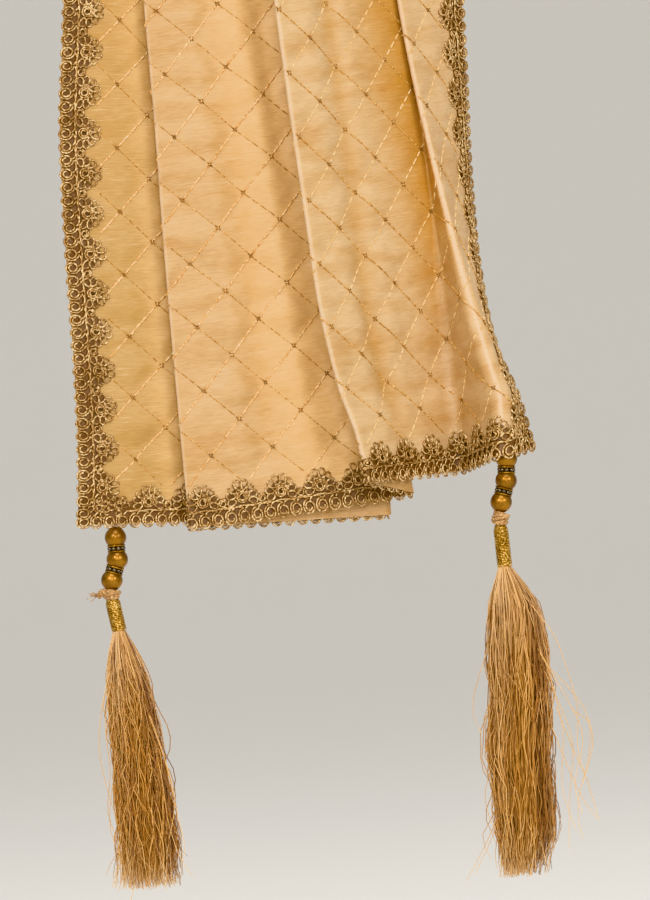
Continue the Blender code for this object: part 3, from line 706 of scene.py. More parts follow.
@dataclass(frozen=True)
class SilkFloss:
    """Untwisted filament silk, cut at the ends.

    The eye gets a painted bright gloss where the strands leave the neck, a darker golden brown
    between them lower down, each strand a little different, painted highlight and shade across
    the skirt, and pale frayed tips.
    """

    name: str = "filament_silk_floss"
    dark: str = "#7c4a10"
    middle: str = "#b0772a"
    light: str = "#e0ae66"
    tip: str = "#f4cc92"
    crimp: float = 1.1              # mm
    painted_gloss_and_tips: tuple[tuple[float, str], ...] = (       # how pale it is at shares of its length: painted gloss near the neck, pale frayed tips at the end
        (0.0, "#ffffff"), (0.08, "#dcdcdc"), (0.24, "#b0b0b0"), (0.4, "#606060"),
        (0.6, "#282828"), (0.9, "#303030"), (1.0, "#ffffff"))

    def build(self) -> bpy.types.Material:
        """Makes the material. It reads each strand's own "strand" and "share" attributes.

        Returns:
            The material.
        """
        made, node, _ = new_material(self.name)
        strand, share = (node("ShaderNodeAttribute", attribute_name=title).outputs["Fac"]
                         for title in ("strand", "share"))
        # Each strand's colour, from a value that carries its random tone and painted highlight and
        # shade across the skirt.
        own = node("ShaderNodeValToRGB", {"Fac": strand}, stops=(
            (0.0, self.dark), (0.45, self.middle), (1.0, self.light)))
        # Painted gloss near the neck and the pale frayed tips, along each strand.
        lift = node("ShaderNodeValToRGB", {"Fac": share}, stops=self.painted_gloss_and_tips)
        painted_gloss_and_tip_share = node("ShaderNodeMath", {0: lift, 1: strand}, operation="MULTIPLY")
        colour = node("ShaderNodeMix", {0: painted_gloss_and_tip_share, 6: own, 7: linear(self.tip)}, data_type="RGBA")
        place = node("ShaderNodeTexCoord").outputs["Object"]
        crimp = node("ShaderNodeTexNoise", {"Vector": place, "Scale": 1 / (self.crimp * MM),
                                            "Detail": 1.0})
        relief = node("ShaderNodeBump", {"Height": crimp, "Strength": 0.6, "Distance": 0.2 * MM})
        finish_with(made, Base_Color=colour, Normal=relief, Roughness=0.34, IOR=1.5,
                    Specular_IOR_Level=0.7, Sheen_Weight=0.15)
        return made


@dataclass(frozen=True)
class Beadwork:
    """Lacquered beads, plated brass settings or foil-backed glass stones."""

    name: str
    dark: str
    light: str
    metallic: float
    roughness: float
    wear: float                     # mm, size of the patches in its coating
    coat: float = 0.0

    def build(self) -> bpy.types.Material:
        """Makes the material.

        Returns:
            The material.
        """
        made, node, _ = new_material(self.name)
        place = node("ShaderNodeTexCoord").outputs["Object"]
        patch = node("ShaderNodeTexNoise", {
            "Vector": place, "Scale": 1 / (self.wear * MM), "Detail": 4.0, "Roughness": 0.55})
        colour = node("ShaderNodeValToRGB", {"Fac": patch},
                      stops=((0.35, self.dark), (0.62, self.light)))
        relief = node("ShaderNodeBump", {"Height": patch, "Strength": 0.12,
                                         "Distance": 0.1 * MM})
        finish_with(made, Base_Color=colour, Normal=relief, Metallic=self.metallic,
                    Roughness=self.roughness, Coat_Weight=self.coat)
        return made


class Finish(Enum):
    """Every finish on the stole."""

    SILK = DupionSilk()
    LACE_CORD = Thread("tarnished_gold_gimp", "#70502a", "#ac8654", "#eed6a8",
                       0.35, 0.36, 1.1, 0.0, 0.35)
    LIGHT_STITCH = Thread("pale_gold_stitch_thread", "#c0904a", "#e6c084", "#fbe8bc",
                          0.05, 0.42, 0.8)
    GOLD_STITCH = Thread("gold_stitch_thread", "#b87e3c", "#e8b878", "#ffe8bc", 0.05, 0.45, 0.9)
    WARM_STITCH = Thread("bronze_stitch_thread", "#9a682a", "#c6924a", "#f0cb90", 0.15, 0.4, 0.9)
    KNOT_STITCH = Thread("brown_knot_thread", "#503414", "#946630", "#d4a45e", 0.15, 0.45, 0.5)
    PEACH_THREAD = Thread("peach_cotton_thread", "#7c5829", "#ae8350", "#d6b284",
                          0.0, 0.6, 0.8, 0.2)
    NECK_WIRE = Thread("gold_zari_winding", "#66460e", "#ae8436", "#f4da98", 0.65, 0.32, 0.8)
    FLOSS = SilkFloss()
    GOLD_BEAD = Beadwork("matte_gold_pearl_lacquer", "#6e4a16", "#986c26", 0.9, 0.34, 6.0, 0.3)
    BRASS_RIM = Beadwork("plated_brass_rim", "#5e4014", "#a67e38", 0.9, 0.32, 1.2)
    DARK_STONE = Beadwork("foiled_glass_stone", "#17110a", "#6a5a44", 0.4, 0.07, 1.3, 0.6)

    def material(self) -> bpy.types.Material:
        """The finish's material, made once."""
        return bpy.data.materials.get(self.value.name) or self.value.build()


# ================================================================ the draped surface
class Face(Enum):
    """The seven faces between the folds, innermost first, with how many columns each has."""

    A = 56
    AB = 36
    B = 46
    BC = 18
    C = 28
    CD = 22
    D = 20


TURN_COLUMNS = (9, 8, 9, 8, 10, 8)      # round each fold, from a_ab to cd_d


@dataclass(frozen=True)
class Crease:
    """A soft lengthwise ridge or trough of the silk, in millimetres of the flat cloth."""

    at_hem: float                   # u of its middle at the hem
    at_top: float                   # and at v = 345
    width: float
    depth: float                    # a ridge is positive and a trough negative
    start: float = -60.0            # v where it begins
    painted_trough_shade: float = 0.0          # how much painted orange shade its middle gets
    wavers: tuple[tuple[float, float, float], ...] = (      # (size, wavelength / 2 pi, offset)
        (1.6, 43.0, 1.0), (0.7, 17.0, 2.0))

    def profile(self, u: Array, v: Array) -> Array:
        """Its share of full depth at each place, with a slow waver and swell along it.

        Args:
            u: across-places.
            v: along-places.

        Returns:
            The shares.
        """
        middle = self.at_hem + (self.at_top - self.at_hem) * np.clip(v / NEAR_END, 0.0, 1.0)
        for size, spacing, offset in self.wavers:
            middle = middle + size * np.sin(v / spacing + self.at_hem * offset)
        swell = 0.82 + 0.18 * np.sin(v / 57.0 + 1.7 * self.at_hem)
        begun = smooth_step(self.start - 25, self.start + 25, v)
        return np.exp(-((u - middle) / self.width) ** 2) * (swell * begun)

    def height_at(self, u: Array, v: Array) -> Array:
        """Its height at each place."""
        return self.depth * self.profile(u, v)


@dataclass(frozen=True)
class Pucker:
    """A small slanting dimple or swelling where a stitch line or the lace pulls the silk."""

    u: float
    v: float
    length: float
    width: float
    angle: float                    # degrees from the cross direction
    height: float

    def height_at(self, u: Array, v: Array) -> Array:
        """Its height at each place.

        Args:
            u: across-places.
            v: along-places.

        Returns:
            The heights.
        """
        turn = math.radians(self.angle)
        along = (u - self.u) * math.cos(turn) + (v - self.v) * math.sin(turn)
        aside = (v - self.v) * math.cos(turn) - (u - self.u) * math.sin(turn)
        return self.height * np.exp(-(along / self.length) ** 2 - (aside / self.width) ** 2)


@dataclass
class DrapedSurface:
    """The stole's middle surface as it hangs: pleats, the arch over the shoulder, soft creases.

    Rows follow v and columns follow the folds, so every fold keeps its own columns.
    """

    creases: Sequence[Crease]
    puckers: Sequence[Pucker]
    near_step: float = 3.2          # mm between rows as far as NEAR_END
    far_step: float = 12.0
    arch_step: float = 8.0
    back_step: float = 10.5
    fold_hush: float = 9.0          # mm on each side of a fold without any crease
    edge_hush: float = 30.0         # mm beside an edge with weaker ones
    block: int = 20000              # places looked up at a time
    v: Array = field(init=False)
    u: Array = field(init=False)
    points: Array = field(init=False)
    normals: Array = field(init=False)
    fold_u: Array = field(init=False)

    def __post_init__(self) -> None:
        """Lays the whole cloth out."""
        ends = (HEM_INSET, NEAR_END, ARCH_START, ARCH_END, CLOTH_LENGTH - HEM_INSET)
        steps = (self.near_step, self.far_step, self.arch_step, self.back_step)
        self.v = np.concatenate(((0.0, HEM_INSET), *(
            np.linspace(start, end, max(2, round((end - start) / step)) + 1)[1:]
            for start, end, step in zip(ends[:-1], ends[1:], steps)), (CLOTH_LENGTH,)))
        cuts = [self.section(v) for v in self.v]
        self.u = np.array([cut[0] for cut in cuts])
        self.fold_u = np.array([cut[5] for cut in cuts])
        places = [self.place(v, *cut[1:5]) for v, cut in zip(self.v, cuts)]
        base = np.array([p for p, _ in places])
        plain = np.array([n for _, n in places])
        self.points = base + plain * self.relief()[..., None]
        du = np.gradient(self.points, axis=1)
        dv = np.gradient(self.points, axis=0)
        normals = unit(np.cross(du, dv))
        self.normals = normals * np.sign((normals * plain).sum(-1, keepdims=True))

    @staticmethod
    def belt(pins: Sequence[Sequence[float]]) -> tuple[list, list, list]:
        """Headings and lengths of the straight runs between pins, and the turn round each.

        Args:
            pins: (across, forward, radius) of every pin, in order.

        Returns:
            The headings, the lengths and the turns in radians.
        """
        headings, lengths, turns = [], [], []
        for (x0, f0, r0), (x1, f1, r1) in zip(pins[:-1], pins[1:]):
            span = math.hypot(x1 - x0, f1 - f0)
            headings.append(math.atan2(f1 - f0, x1 - x0) - math.asin((r1 - r0) / span))
            lengths.append(math.sqrt(span**2 - (r1 - r0) ** 2))
        for j in range(1, len(headings)):
            sense = math.copysign(1.0, pins[j][2])
            turns.append(sense * (((headings[j] - headings[j - 1]) * sense) % (2 * math.pi)))
        return headings, lengths, turns

    def fold_places(self, pins: Sequence[Sequence[float]]) -> list[float]:
        """The length along the belt at the middle of each fold, from edge to edge.

        Args:
            pins: (across, forward, radius) of every pin, in order.

        Returns:
            The lengths along the belt.
        """
        _, lengths, turns = self.belt(pins)
        places, reached = [0.0], 0.0
        for length, turn, pin in zip(lengths, turns, pins[1:]):
            bend = abs(turn * pin[2])
            places.append(reached + length + bend / 2)
            reached += length + bend
        places.append(reached + lengths[-1])
        return places

    def settle(self, v: float) -> list[tuple[float, float, float]]:
        """The pins at v, with the hidden ones moved until the cloth between creases fits.

        Args:
            v: the length along the cloth.

        Returns:
            (across, forward, radius) of every pin, in order.
        """
        across, forward = list(between_rows(ACROSS, v)), list(between_rows(FORWARD, v))
        turning, creases = between_rows(TURNING, v), between_rows(CREASES, v)
        wanted = dict(zip((0, 2, 4, 6, 7), (0.0, *creases, CLOTH_WIDTH)))
        for _ in range(SETTLING_ROUNDS):
            places = self.fold_places(list(zip(across, forward, turning)))
            for j in (1, 3, 5):
                lack = wanted[j + 1] - wanted[j - 1] - places[j + 1] + places[j - 1]
                here = Vector((across[j], forward[j]))
                outward = sum(((here - Vector((across[k], forward[k]))).normalized()
                               for k in (j - 1, j + 1)), Vector((0.0, 0.0)))
                step = outward.normalized() * lack * SETTLING_SHARE / outward.length
                across[j] += step.x
                forward[j] += step.y
            lack = wanted[7] - wanted[6] - places[7] + places[6]
            run = Vector((across[7] - across[6], forward[7] - forward[6])).normalized()
            across[7] += run.x * lack
            forward[7] += run.y * lack
        return list(zip(across, forward, turning))

    def section(self, v: float) -> tuple[Array, Array, Array, Array, Array, Array]:
        """The cross-section at v.

        Args:
            v: the length along the cloth.

        Returns:
            u, across, forward, heading and raise of each column, and the u of each fold.
        """
        pins = self.settle(v)
        headings, lengths, turns = self.belt(pins)
        heading, reached, rows = headings[0], 0.0, []
        for j, (face, length) in enumerate(zip(Face, lengths)):
            x, f, radius = pins[j]
            x += radius * math.sin(heading)
            f -= radius * math.cos(heading)
            t = np.linspace(0.0, length, face.value + 1)[0 if j == 0 else 1:]
            rows.append(np.stack((reached + t, x + t * math.cos(heading),
                                  f + t * math.sin(heading), np.full(len(t), heading)), -1))
            reached += length
            if j < len(turns):
                x, f, radius = pins[j + 1]
                bend = abs(turns[j] * radius)
                t = np.linspace(0.0, 1.0, TURN_COLUMNS[j] + 1)[1:]
                angle = heading + turns[j] * t
                rows.append(np.stack((reached + t * bend, x + radius * np.sin(angle),
                                      f - radius * np.cos(angle), angle), -1))
                heading += turns[j]
                reached += bend
        rows = np.concatenate(rows)
        folds = np.array(self.fold_places(pins))
        lift = np.interp(rows[:, 0], folds, between_rows(RAISE, v))
        return rows[:, 0], rows[:, 1], rows[:, 2], rows[:, 3], lift, folds

    @staticmethod
    def place(v: float, across: Array, forward: Array, heading: Array,
              lift: Array) -> tuple[Array, Array]:
        """Points of a cross-section and the normals of the cloth's right side there.

        Args:
            v: the length along the cloth.
            across: how far across each column lies.
            forward: how far it stands from the wearer.
            heading: its heading in the section.
            lift: how much higher it hangs than the innermost face.

        Returns:
            The points and the normals.
        """
        from_top = v - TOP_OF_SHOULDER
        path = from_top - math.copysign(1.0, from_top) * lift * min(abs(from_top) / ARCH_REACH, 1.0)
        quarter = ARCH_RADIUS * math.pi / 2
        angle = np.clip(path, -quarter, quarter) / ARCH_RADIUS
        out_y, out_z = np.sin(angle), np.cos(angle)
        y = ARCH_RADIUS * out_y
        z = ARCH_RADIUS * (out_z - 1) - np.maximum(np.abs(path) - quarter, 0.0) + SOLID_WALL / 2
        points = np.stack((across - BUNDLE_MIDDLE, y + out_y * forward, z + out_z * forward), -1)
        normals = np.stack((-np.sin(heading), out_y * np.cos(heading), out_z * np.cos(heading)), -1)
        return points, normals

    def relief(self) -> Array:
        """How far the creases and puckers stand out of the plain surface, at each grid place.

        Returns:
            The heights.
        """
        u, v = self.u, np.broadcast_to(self.v[:, None], self.u.shape)
        height = np.zeros(u.shape)
        for shape in (*self.creases, *self.puckers):
            height += shape.height_at(u, v)
        for fold in self.fold_u[:, 1:-1].T:
            height *= smooth_step(1.5, self.fold_hush, np.abs(u - fold[:, None]))
        edge = np.minimum(np.minimum(u, CLOTH_WIDTH - u), np.minimum(v, CLOTH_LENGTH - v))
        return height * (0.25 + 0.75 * smooth_step(2.0, self.edge_hush, edge))

    def at(self, u: Array, v: Array) -> tuple[Array, Array]:
        """The points and normals at places of the flat cloth, carried on straight past an edge.

        Args:
            u: across-places.
            v: along-places.

        Returns:
            Points and unit normals of the right side.
        """
        u, v = np.asarray(u, float), np.asarray(v, float)
        points, normals = np.empty((len(u), 3)), np.empty((len(u), 3))
        for start in range(0, len(u), self.block):
            part = slice(start, start + self.block)
            uu, vv = u[part], v[part]
            i = np.clip(np.searchsorted(self.v, vv, side="right") - 1, 0, len(self.v) - 2)
            t = ((vv - self.v[i]) / (self.v[i + 1] - self.v[i]))[:, None]
            columns = self.u[i] * (1 - t) + self.u[i + 1] * t
            j = np.clip((columns <= uu[:, None]).sum(1) - 1, 0, columns.shape[1] - 2)
            rows = np.arange(len(j))
            s = ((uu - columns[rows, j]) / (columns[rows, j + 1] - columns[rows, j]))[:, None]
            for grid, out in ((self.points, points), (self.normals, normals)):
                near = grid[i, j] * (1 - s) + grid[i, j + 1] * s
                far = grid[i + 1, j] * (1 - s) + grid[i + 1, j + 1] * s
                out[part] = near * (1 - t) + far * t
        return points, unit(normals)


# ================================================================ putting pieces in the scene
def set_attribute(mesh: bpy.types.Mesh, title: str, values: Array) -> None:
    """Gives a mesh's points an attribute of numbers (n,) or vectors (n, 3).

    Args:
        mesh: the mesh.
        title: the attribute's name.
        values: one for each point.
    """
    values = np.asarray(values, np.float32)
    kind, part = ("FLOAT", "value") if values.ndim == 1 else ("FLOAT_VECTOR", "vector")
    mesh.attributes.new(title, kind, "POINT").data.foreach_set(part, values.ravel())


def add_piece(name: str, shape: Shape | bpy.types.Mesh, finish: Finish,
              stands_for: Sequence[str]) -> bpy.types.Object:
    """Links a shape as a piece of the stole, which rides on its one body.

    Args:
        name: the piece's name.
        shape: its form in millimetres, or its finished mesh.
        finish: its finish.
        stands_for: the CAD nodes that it replaces.

    Returns:
        The object.
    """
    mesh = shape.mesh(name) if isinstance(shape, Shape) else shape
    mesh.name = name
    if not mesh.materials:
        mesh.materials.append(finish.material())
    made = bpy.data.objects.new(name, mesh)
    bpy.context.scene.collection.objects.link(made)
    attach(made, "root")
    if stands_for:
        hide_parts(*stands_for)
    LOG.info("%s: %d triangles", name, sum(len(face.vertices) - 2 for face in mesh.polygons))
    return made


def open_tree(name: str, **inputs: str) -> tuple[bpy.types.NodeTree, partial,
                                                 bpy.types.NodeOutputs]:
    """A new geometry tree with its sockets.

    Args:
        name: the tree's name.
        **inputs: each input's kind of socket, with "_" for a space in the input's name.

    Returns:
        The tree, add_node bound to it, and its inputs as outputs to link.
    """
    tree = bpy.data.node_groups.new(name, "GeometryNodeTree")
    for title, kind in inputs.items():
        tree.interface.new_socket(name=title.replace("_", " "), in_out="INPUT",
                                  socket_type=f"NodeSocket{kind}")
    tree.interface.new_socket(name="Geometry", in_out="OUTPUT", socket_type="NodeSocketGeometry")
    node = partial(add_node, tree)
    return tree, node, node("NodeGroupInput").outputs


def close_tree(node: partial, copies: bpy.types.Node, finish: bpy.types.NodeSocket) -> None:
    """Ends a tree in its copies as real geometry of one finish.

    Args:
        node: add_node bound to the tree.
        copies: the node that makes the copies.
        finish: the material.
    """
    real = node("GeometryNodeRealizeInstances", {"Geometry": copies})
    node("NodeGroupOutput", {
        0: node("GeometryNodeSetMaterial", {"Geometry": real, "Material": finish})})


def scatter_tree(name: str) -> bpy.types.NodeTree:
    """A tree that puts a small shape on every point of a mesh.

    Each point's own "turn" (Euler angles) and "size" say how the shape stands there.

    Args:
        name: the tree's name.

    Returns:
        The tree, with the inputs Geometry, Small Shape and Finish.
    """
    tree, node, given = open_tree(name, Geometry="Geometry", Small_Shape="Object",
                                  Finish="Material")
    turn, size = (node("GeometryNodeInputNamedAttribute", {"Name": title},
                       data_type="FLOAT_VECTOR") for title in ("turn", "size"))
    small = node("GeometryNodeObjectInfo", {"Object": given["Small Shape"]}).outputs["Geometry"]
    close_tree(node, node("GeometryNodeInstanceOnPoints", {
        "Points": given["Geometry"], "Instance": small, "Scale": size,
        "Rotation": node("FunctionNodeEulerToRotation", {0: turn})}), given["Finish"])
    return tree


def thread_tree(name: str) -> bpy.types.NodeTree:
    """A tree that turns every chain of edges into a round thread.

    Args:
        name: the tree's name.

    Returns:
        The tree, with the inputs Geometry, Sides and Finish. Each point's "girth" is the
        thread's radius there.
    """
    tree, node, given = open_tree(name, Geometry="Geometry", Sides="Int", Finish="Material")
    girth = node("GeometryNodeInputNamedAttribute", {"Name": "girth"}, data_type="FLOAT")
    close_tree(node, node("GeometryNodeCurveToMesh", {
        "Curve": node("GeometryNodeMeshToCurve", {"Mesh": given["Geometry"]}),
        "Profile Curve": node("GeometryNodeCurvePrimitiveCircle", {
            "Resolution": given["Sides"], "Radius": 1.0}),
        "Scale": girth, "Fill Caps": True}), given["Finish"])
    return tree


def run_tree(carrier: bpy.types.Object, tree: bpy.types.NodeTree,
             **given: object) -> bpy.types.Mesh:
    """Runs a tree on an object and returns its result as a plain mesh.

    Args:
        carrier: the object whose mesh goes in. It is removed.
        tree: the tree.
        **given: values for its inputs, with "_" for a space in a name.

    Returns:
        The result's mesh.
    """
    modifier = carrier.modifiers.new(tree.name, "NODES")
    modifier.node_group = tree
    sockets = {item.name: item.identifier for item in tree.interface.items_tree
               if item.in_out == "INPUT"}
    for name, value in given.items():
        modifier[sockets[name.replace("_", " ")]] = value
    bpy.context.scene.collection.objects.link(carrier)
    graph = bpy.context.evaluated_depsgraph_get()
    graph.update()
    result = bpy.data.meshes.new_from_object(carrier.evaluated_get(graph), depsgraph=graph)
    carrier.modifiers.clear()
    bpy.data.objects.remove(carrier, do_unlink=True)
    return result


def carrier_of(name: str, points: Array, edges: Array | None = None,
               **attributes: Array) -> bpy.types.Object:
    """An object of bare points and edges, for a tree to work on.

    Args:
        name: its name.
        points: its points, in millimetres.
        edges: its edges, if any.
        **attributes: what each point carries.

    Returns:
        The object.
    """
    mesh = bpy.data.meshes.new(name)
    mesh.from_pydata((points * MM).tolist(), [] if edges is None else edges.tolist(), [])
    for title, values in attributes.items():
        set_attribute(mesh, title, values)
    return bpy.data.objects.new(name, mesh)


def scattered(shape: Shape, points: Array, frames: Array, sizes: Array,
              tree: bpy.types.NodeTree, finish: Finish) -> Shape:
    """A small shape repeated on points by the scatter tree.

    Args:
        shape: the small shape, in millimetres.
        points: where each copy goes.
        frames: its axes there, as columns of a turn (n, 3, 3).
        sizes: its size along each axis.
        tree: the scatter tree.
        finish: its finish.

    Returns:
        All the copies as one shape.
    """
    small = bpy.data.objects.new("small_shape", shape.mesh("small_shape"))
    turns = np.array([Matrix(frame.tolist()).to_euler() for frame in frames])
    carrier = carrier_of("points", points, turn=turns, size=sizes)
    mesh = run_tree(carrier, tree, Small_Shape=small, Finish=finish.material())
    bpy.data.objects.remove(small, do_unlink=True)
    return Shape.of(mesh)


# ================================================================ the silk
@dataclass
class SilkCloth:
    """The stole's own cloth, in the three stretches that its CAD solids have."""

    surface: DrapedSurface
    thickness: float = 0.6
    crisp_angle: float = 60.0       # degrees past which a corner isn't shaded round
    painted_shade_reach: float = 48.0        # mm beside a covering fold where painted orange shade and glow lie on the silk
    painted_shade_a: tuple[float, float] = (0.14, 0.18)      # painted shade at A's hem, and how much more higher up
    painted_shade_b: tuple[float, float] = (0.26, 0.1)       # painted shade on B, and how much more beside C
    painted_shade_c: float = 0.8             # painted shade on C beside D
    painted_shade_hidden: float = 0.35       # painted shade on the turned-under faces
    painted_shade_behind: tuple[float, float] = (0.1, 0.7)   # painted shade behind D's hem, and how much more higher up
    lit: tuple[float, float] = (0.5, 0.95)          # beside the covering fold on A and on B
    painted_backlight: float = 0.65         # painted yellow backlight at A's outer edge
    painted_fold_highlight_share: float = 0.7           # painted highlight on the folds' very edges

    def wall(self, rows: Array, columns: Array) -> tuple[Shape, Array, Array]:
        """A thin closed wall over part of the surface.

        Args:
            rows: which rows of the surface it has.
            columns: which columns.

        Returns:
            The wall, and the row and column of each of its points.
        """
        grid = np.ix_(rows, columns)
        middle, out = self.surface.points[grid], self.surface.normals[grid]
        points = np.concatenate([(middle + out * side * self.thickness / 2).reshape(-1, 3)
                                 for side in (1, -1)])
        height, width = len(rows), len(columns)
        r, c = np.meshgrid(np.arange(height - 1), np.arange(width - 1), indexing="ij")
        here = (r * width + c).ravel()
        front = np.stack((here, here + 1, here + width + 1, here + width), -1)
        back = front[:, ::-1] + height * width
        rim = np.concatenate((
            np.arange(width - 1), np.arange(height - 1) * width + width - 1,
            (height - 1) * width + np.arange(width - 1, 0, -1),
            np.arange(height - 1, 0, -1) * width))
        after = np.roll(rim, -1)
        side = np.stack((after, rim, rim + height * width, after + height * width), -1)
        row_of, column_of = (np.tile(a.ravel(), 2)
                             for a in np.meshgrid(rows, columns, indexing="ij"))
        return Shape(points, np.concatenate((front, back, side))), row_of, column_of

    def tones(self, rows: Array, columns: Array) -> dict[str, Array]:
        """How much painted orange shade, painted light from within the pleat, painted yellow
        backlight and painted fold highlight the silk gets.

        Args:
            rows: the row of each point of the grid.
            columns: its column.

        Returns:
            The painted shade, painted light, painted backlight and painted fold highlight shares,
            by their attribute names.
        """
        s = self.surface
        u, v = s.u[rows, columns], s.v[rows]
        x = s.points[rows, columns, 0]
        folds_x = np.array([[np.interp(f, s.u[i], s.points[i, :, 0]) for f in s.fold_u[i]]
                            for i in range(len(s.v))])[rows]
        fold_u = s.fold_u[rows]

        def between(first: int, last: int) -> Array:
            """Whether each point lies between two folds."""
            return (u > fold_u[:, first]) & (u <= fold_u[:, last])

        on_a, on_b, on_c, behind_d = u <= fold_u[:, 1], between(2, 3), between(4, 5), between(5, 6)
        beside_b = smooth_step(-18.0, 2.0, x - folds_x[:, 2])
        beside_c = smooth_step(-self.painted_shade_reach, 2.0, x - folds_x[:, 4])
        beside_d = smooth_step(-self.painted_shade_reach * 0.7, -4.0, x - folds_x[:, 6])
        # Painted orange shade: behind D's hem, on the turned-under faces, on C beside D, on B
        # beside C, on A higher up, and in crease troughs.
        painted_shade_orange = np.select(
            (behind_d, between(1, 2) | between(3, 4), on_c, on_b, on_a),
            (self.painted_shade_behind[0] + self.painted_shade_behind[1] * smooth_step(60.0, 150.0, v),
             self.painted_shade_hidden, self.painted_shade_c * beside_d * smooth_step(10.0, 120.0, v),
             self.painted_shade_b[0] + self.painted_shade_b[1] * beside_c,
             self.painted_shade_a[0] + self.painted_shade_a[1] * smooth_step(100.0, 250.0, v)))
        for crease in s.creases:
            painted_shade_orange = np.maximum(painted_shade_orange, crease.painted_trough_shade * crease.profile(u, v))
        lit = np.select((on_a, on_b), (self.lit[0] * beside_b, self.lit[1] * beside_c))
        # Painted backlight: A's outer part is tinted yellow as by light coming through its single
        # layer.
        painted_backlight_yellow = np.where(on_a, self.painted_backlight * (1 - smooth_step(70.0, 110.0, u)), 0.0)
        # Painted highlight along the folds' very edges.
        from_fold = np.abs(u[..., None] - fold_u[..., 2:7:2]).min(-1)
        painted_fold_highlight = self.painted_fold_highlight_share * (1.0 - smooth_step(0.3, 1.6, from_fold))
        return {"painted_shade": np.clip(painted_shade_orange, 0.0, 1.0), "lit": lit, "painted_backlight": painted_backlight_yellow,
                "painted_fold_highlight": painted_fold_highlight}

    def build(self) -> None:
        """Makes the three stretches."""
        s = self.surface
        width = s.u.shape[1]
        coarse = np.unique(np.concatenate((np.arange(0, width, 2), [width - 1])))
        for name, start, end, columns in (
                ("cloth_front_fall", HEM_INSET, ARCH_START, np.arange(width)),
                ("cloth_shoulder", ARCH_START, ARCH_END, coarse),
                ("cloth_back_fall", ARCH_END, CLOTH_LENGTH - HEM_INSET, coarse)):
            rows = np.flatnonzero((s.v > start - 0.01) & (s.v < end + 0.01))
            shape, row_of, column_of = self.wall(rows, columns)
            made = add_piece(f"silk_{name}", shape, Finish.SILK, [name])
            made.data.set_sharp_from_angle(angle=math.radians(self.crisp_angle))
            u, v = s.u[row_of, column_of], s.v[row_of]
            looks = self.tones(row_of, column_of) | {
                "flat": np.stack((u * MM, v * MM, np.zeros(len(u))), -1),
                "right_side": np.repeat((1.0, 0.0), len(u) // 2),
                "bare": smooth_step(NEAR_END - 3, NEAR_END + 3, v)}
            for title, values in looks.items():
                set_attribute(made.data, title, values)


# ================================================================ lace
class LaceCourse(Enum):
    """Which edge of the cloth a strip of lace is sewn along."""

    FRONT_HEM = "lace_front_hem"
    BACK_HEM = "lace_back_hem"
    EDGE_A = "lace_edge_a"
    EDGE_D = "lace_edge_d"

    def spot(self, along: Array, inward: Array) -> tuple[Array, Array]:
        """The flat cloth's (u, v) of a place along the edge and in from it.

        Args:
            along: places along the edge.
            inward: how far in from it they are.

        Returns:
            u and v.
        """
        return {LaceCourse.FRONT_HEM: (along, inward),
                LaceCourse.BACK_HEM: (along, CLOTH_LENGTH - inward),
                LaceCourse.EDGE_A: (inward, along),
                LaceCourse.EDGE_D: (CLOTH_WIDTH - inward, along)}[self]

    @property
    def turned_over(self) -> bool:
        """Whether laying the flat strip on this edge mirrors it."""
        return self in (LaceCourse.BACK_HEM, LaceCourse.EDGE_A)


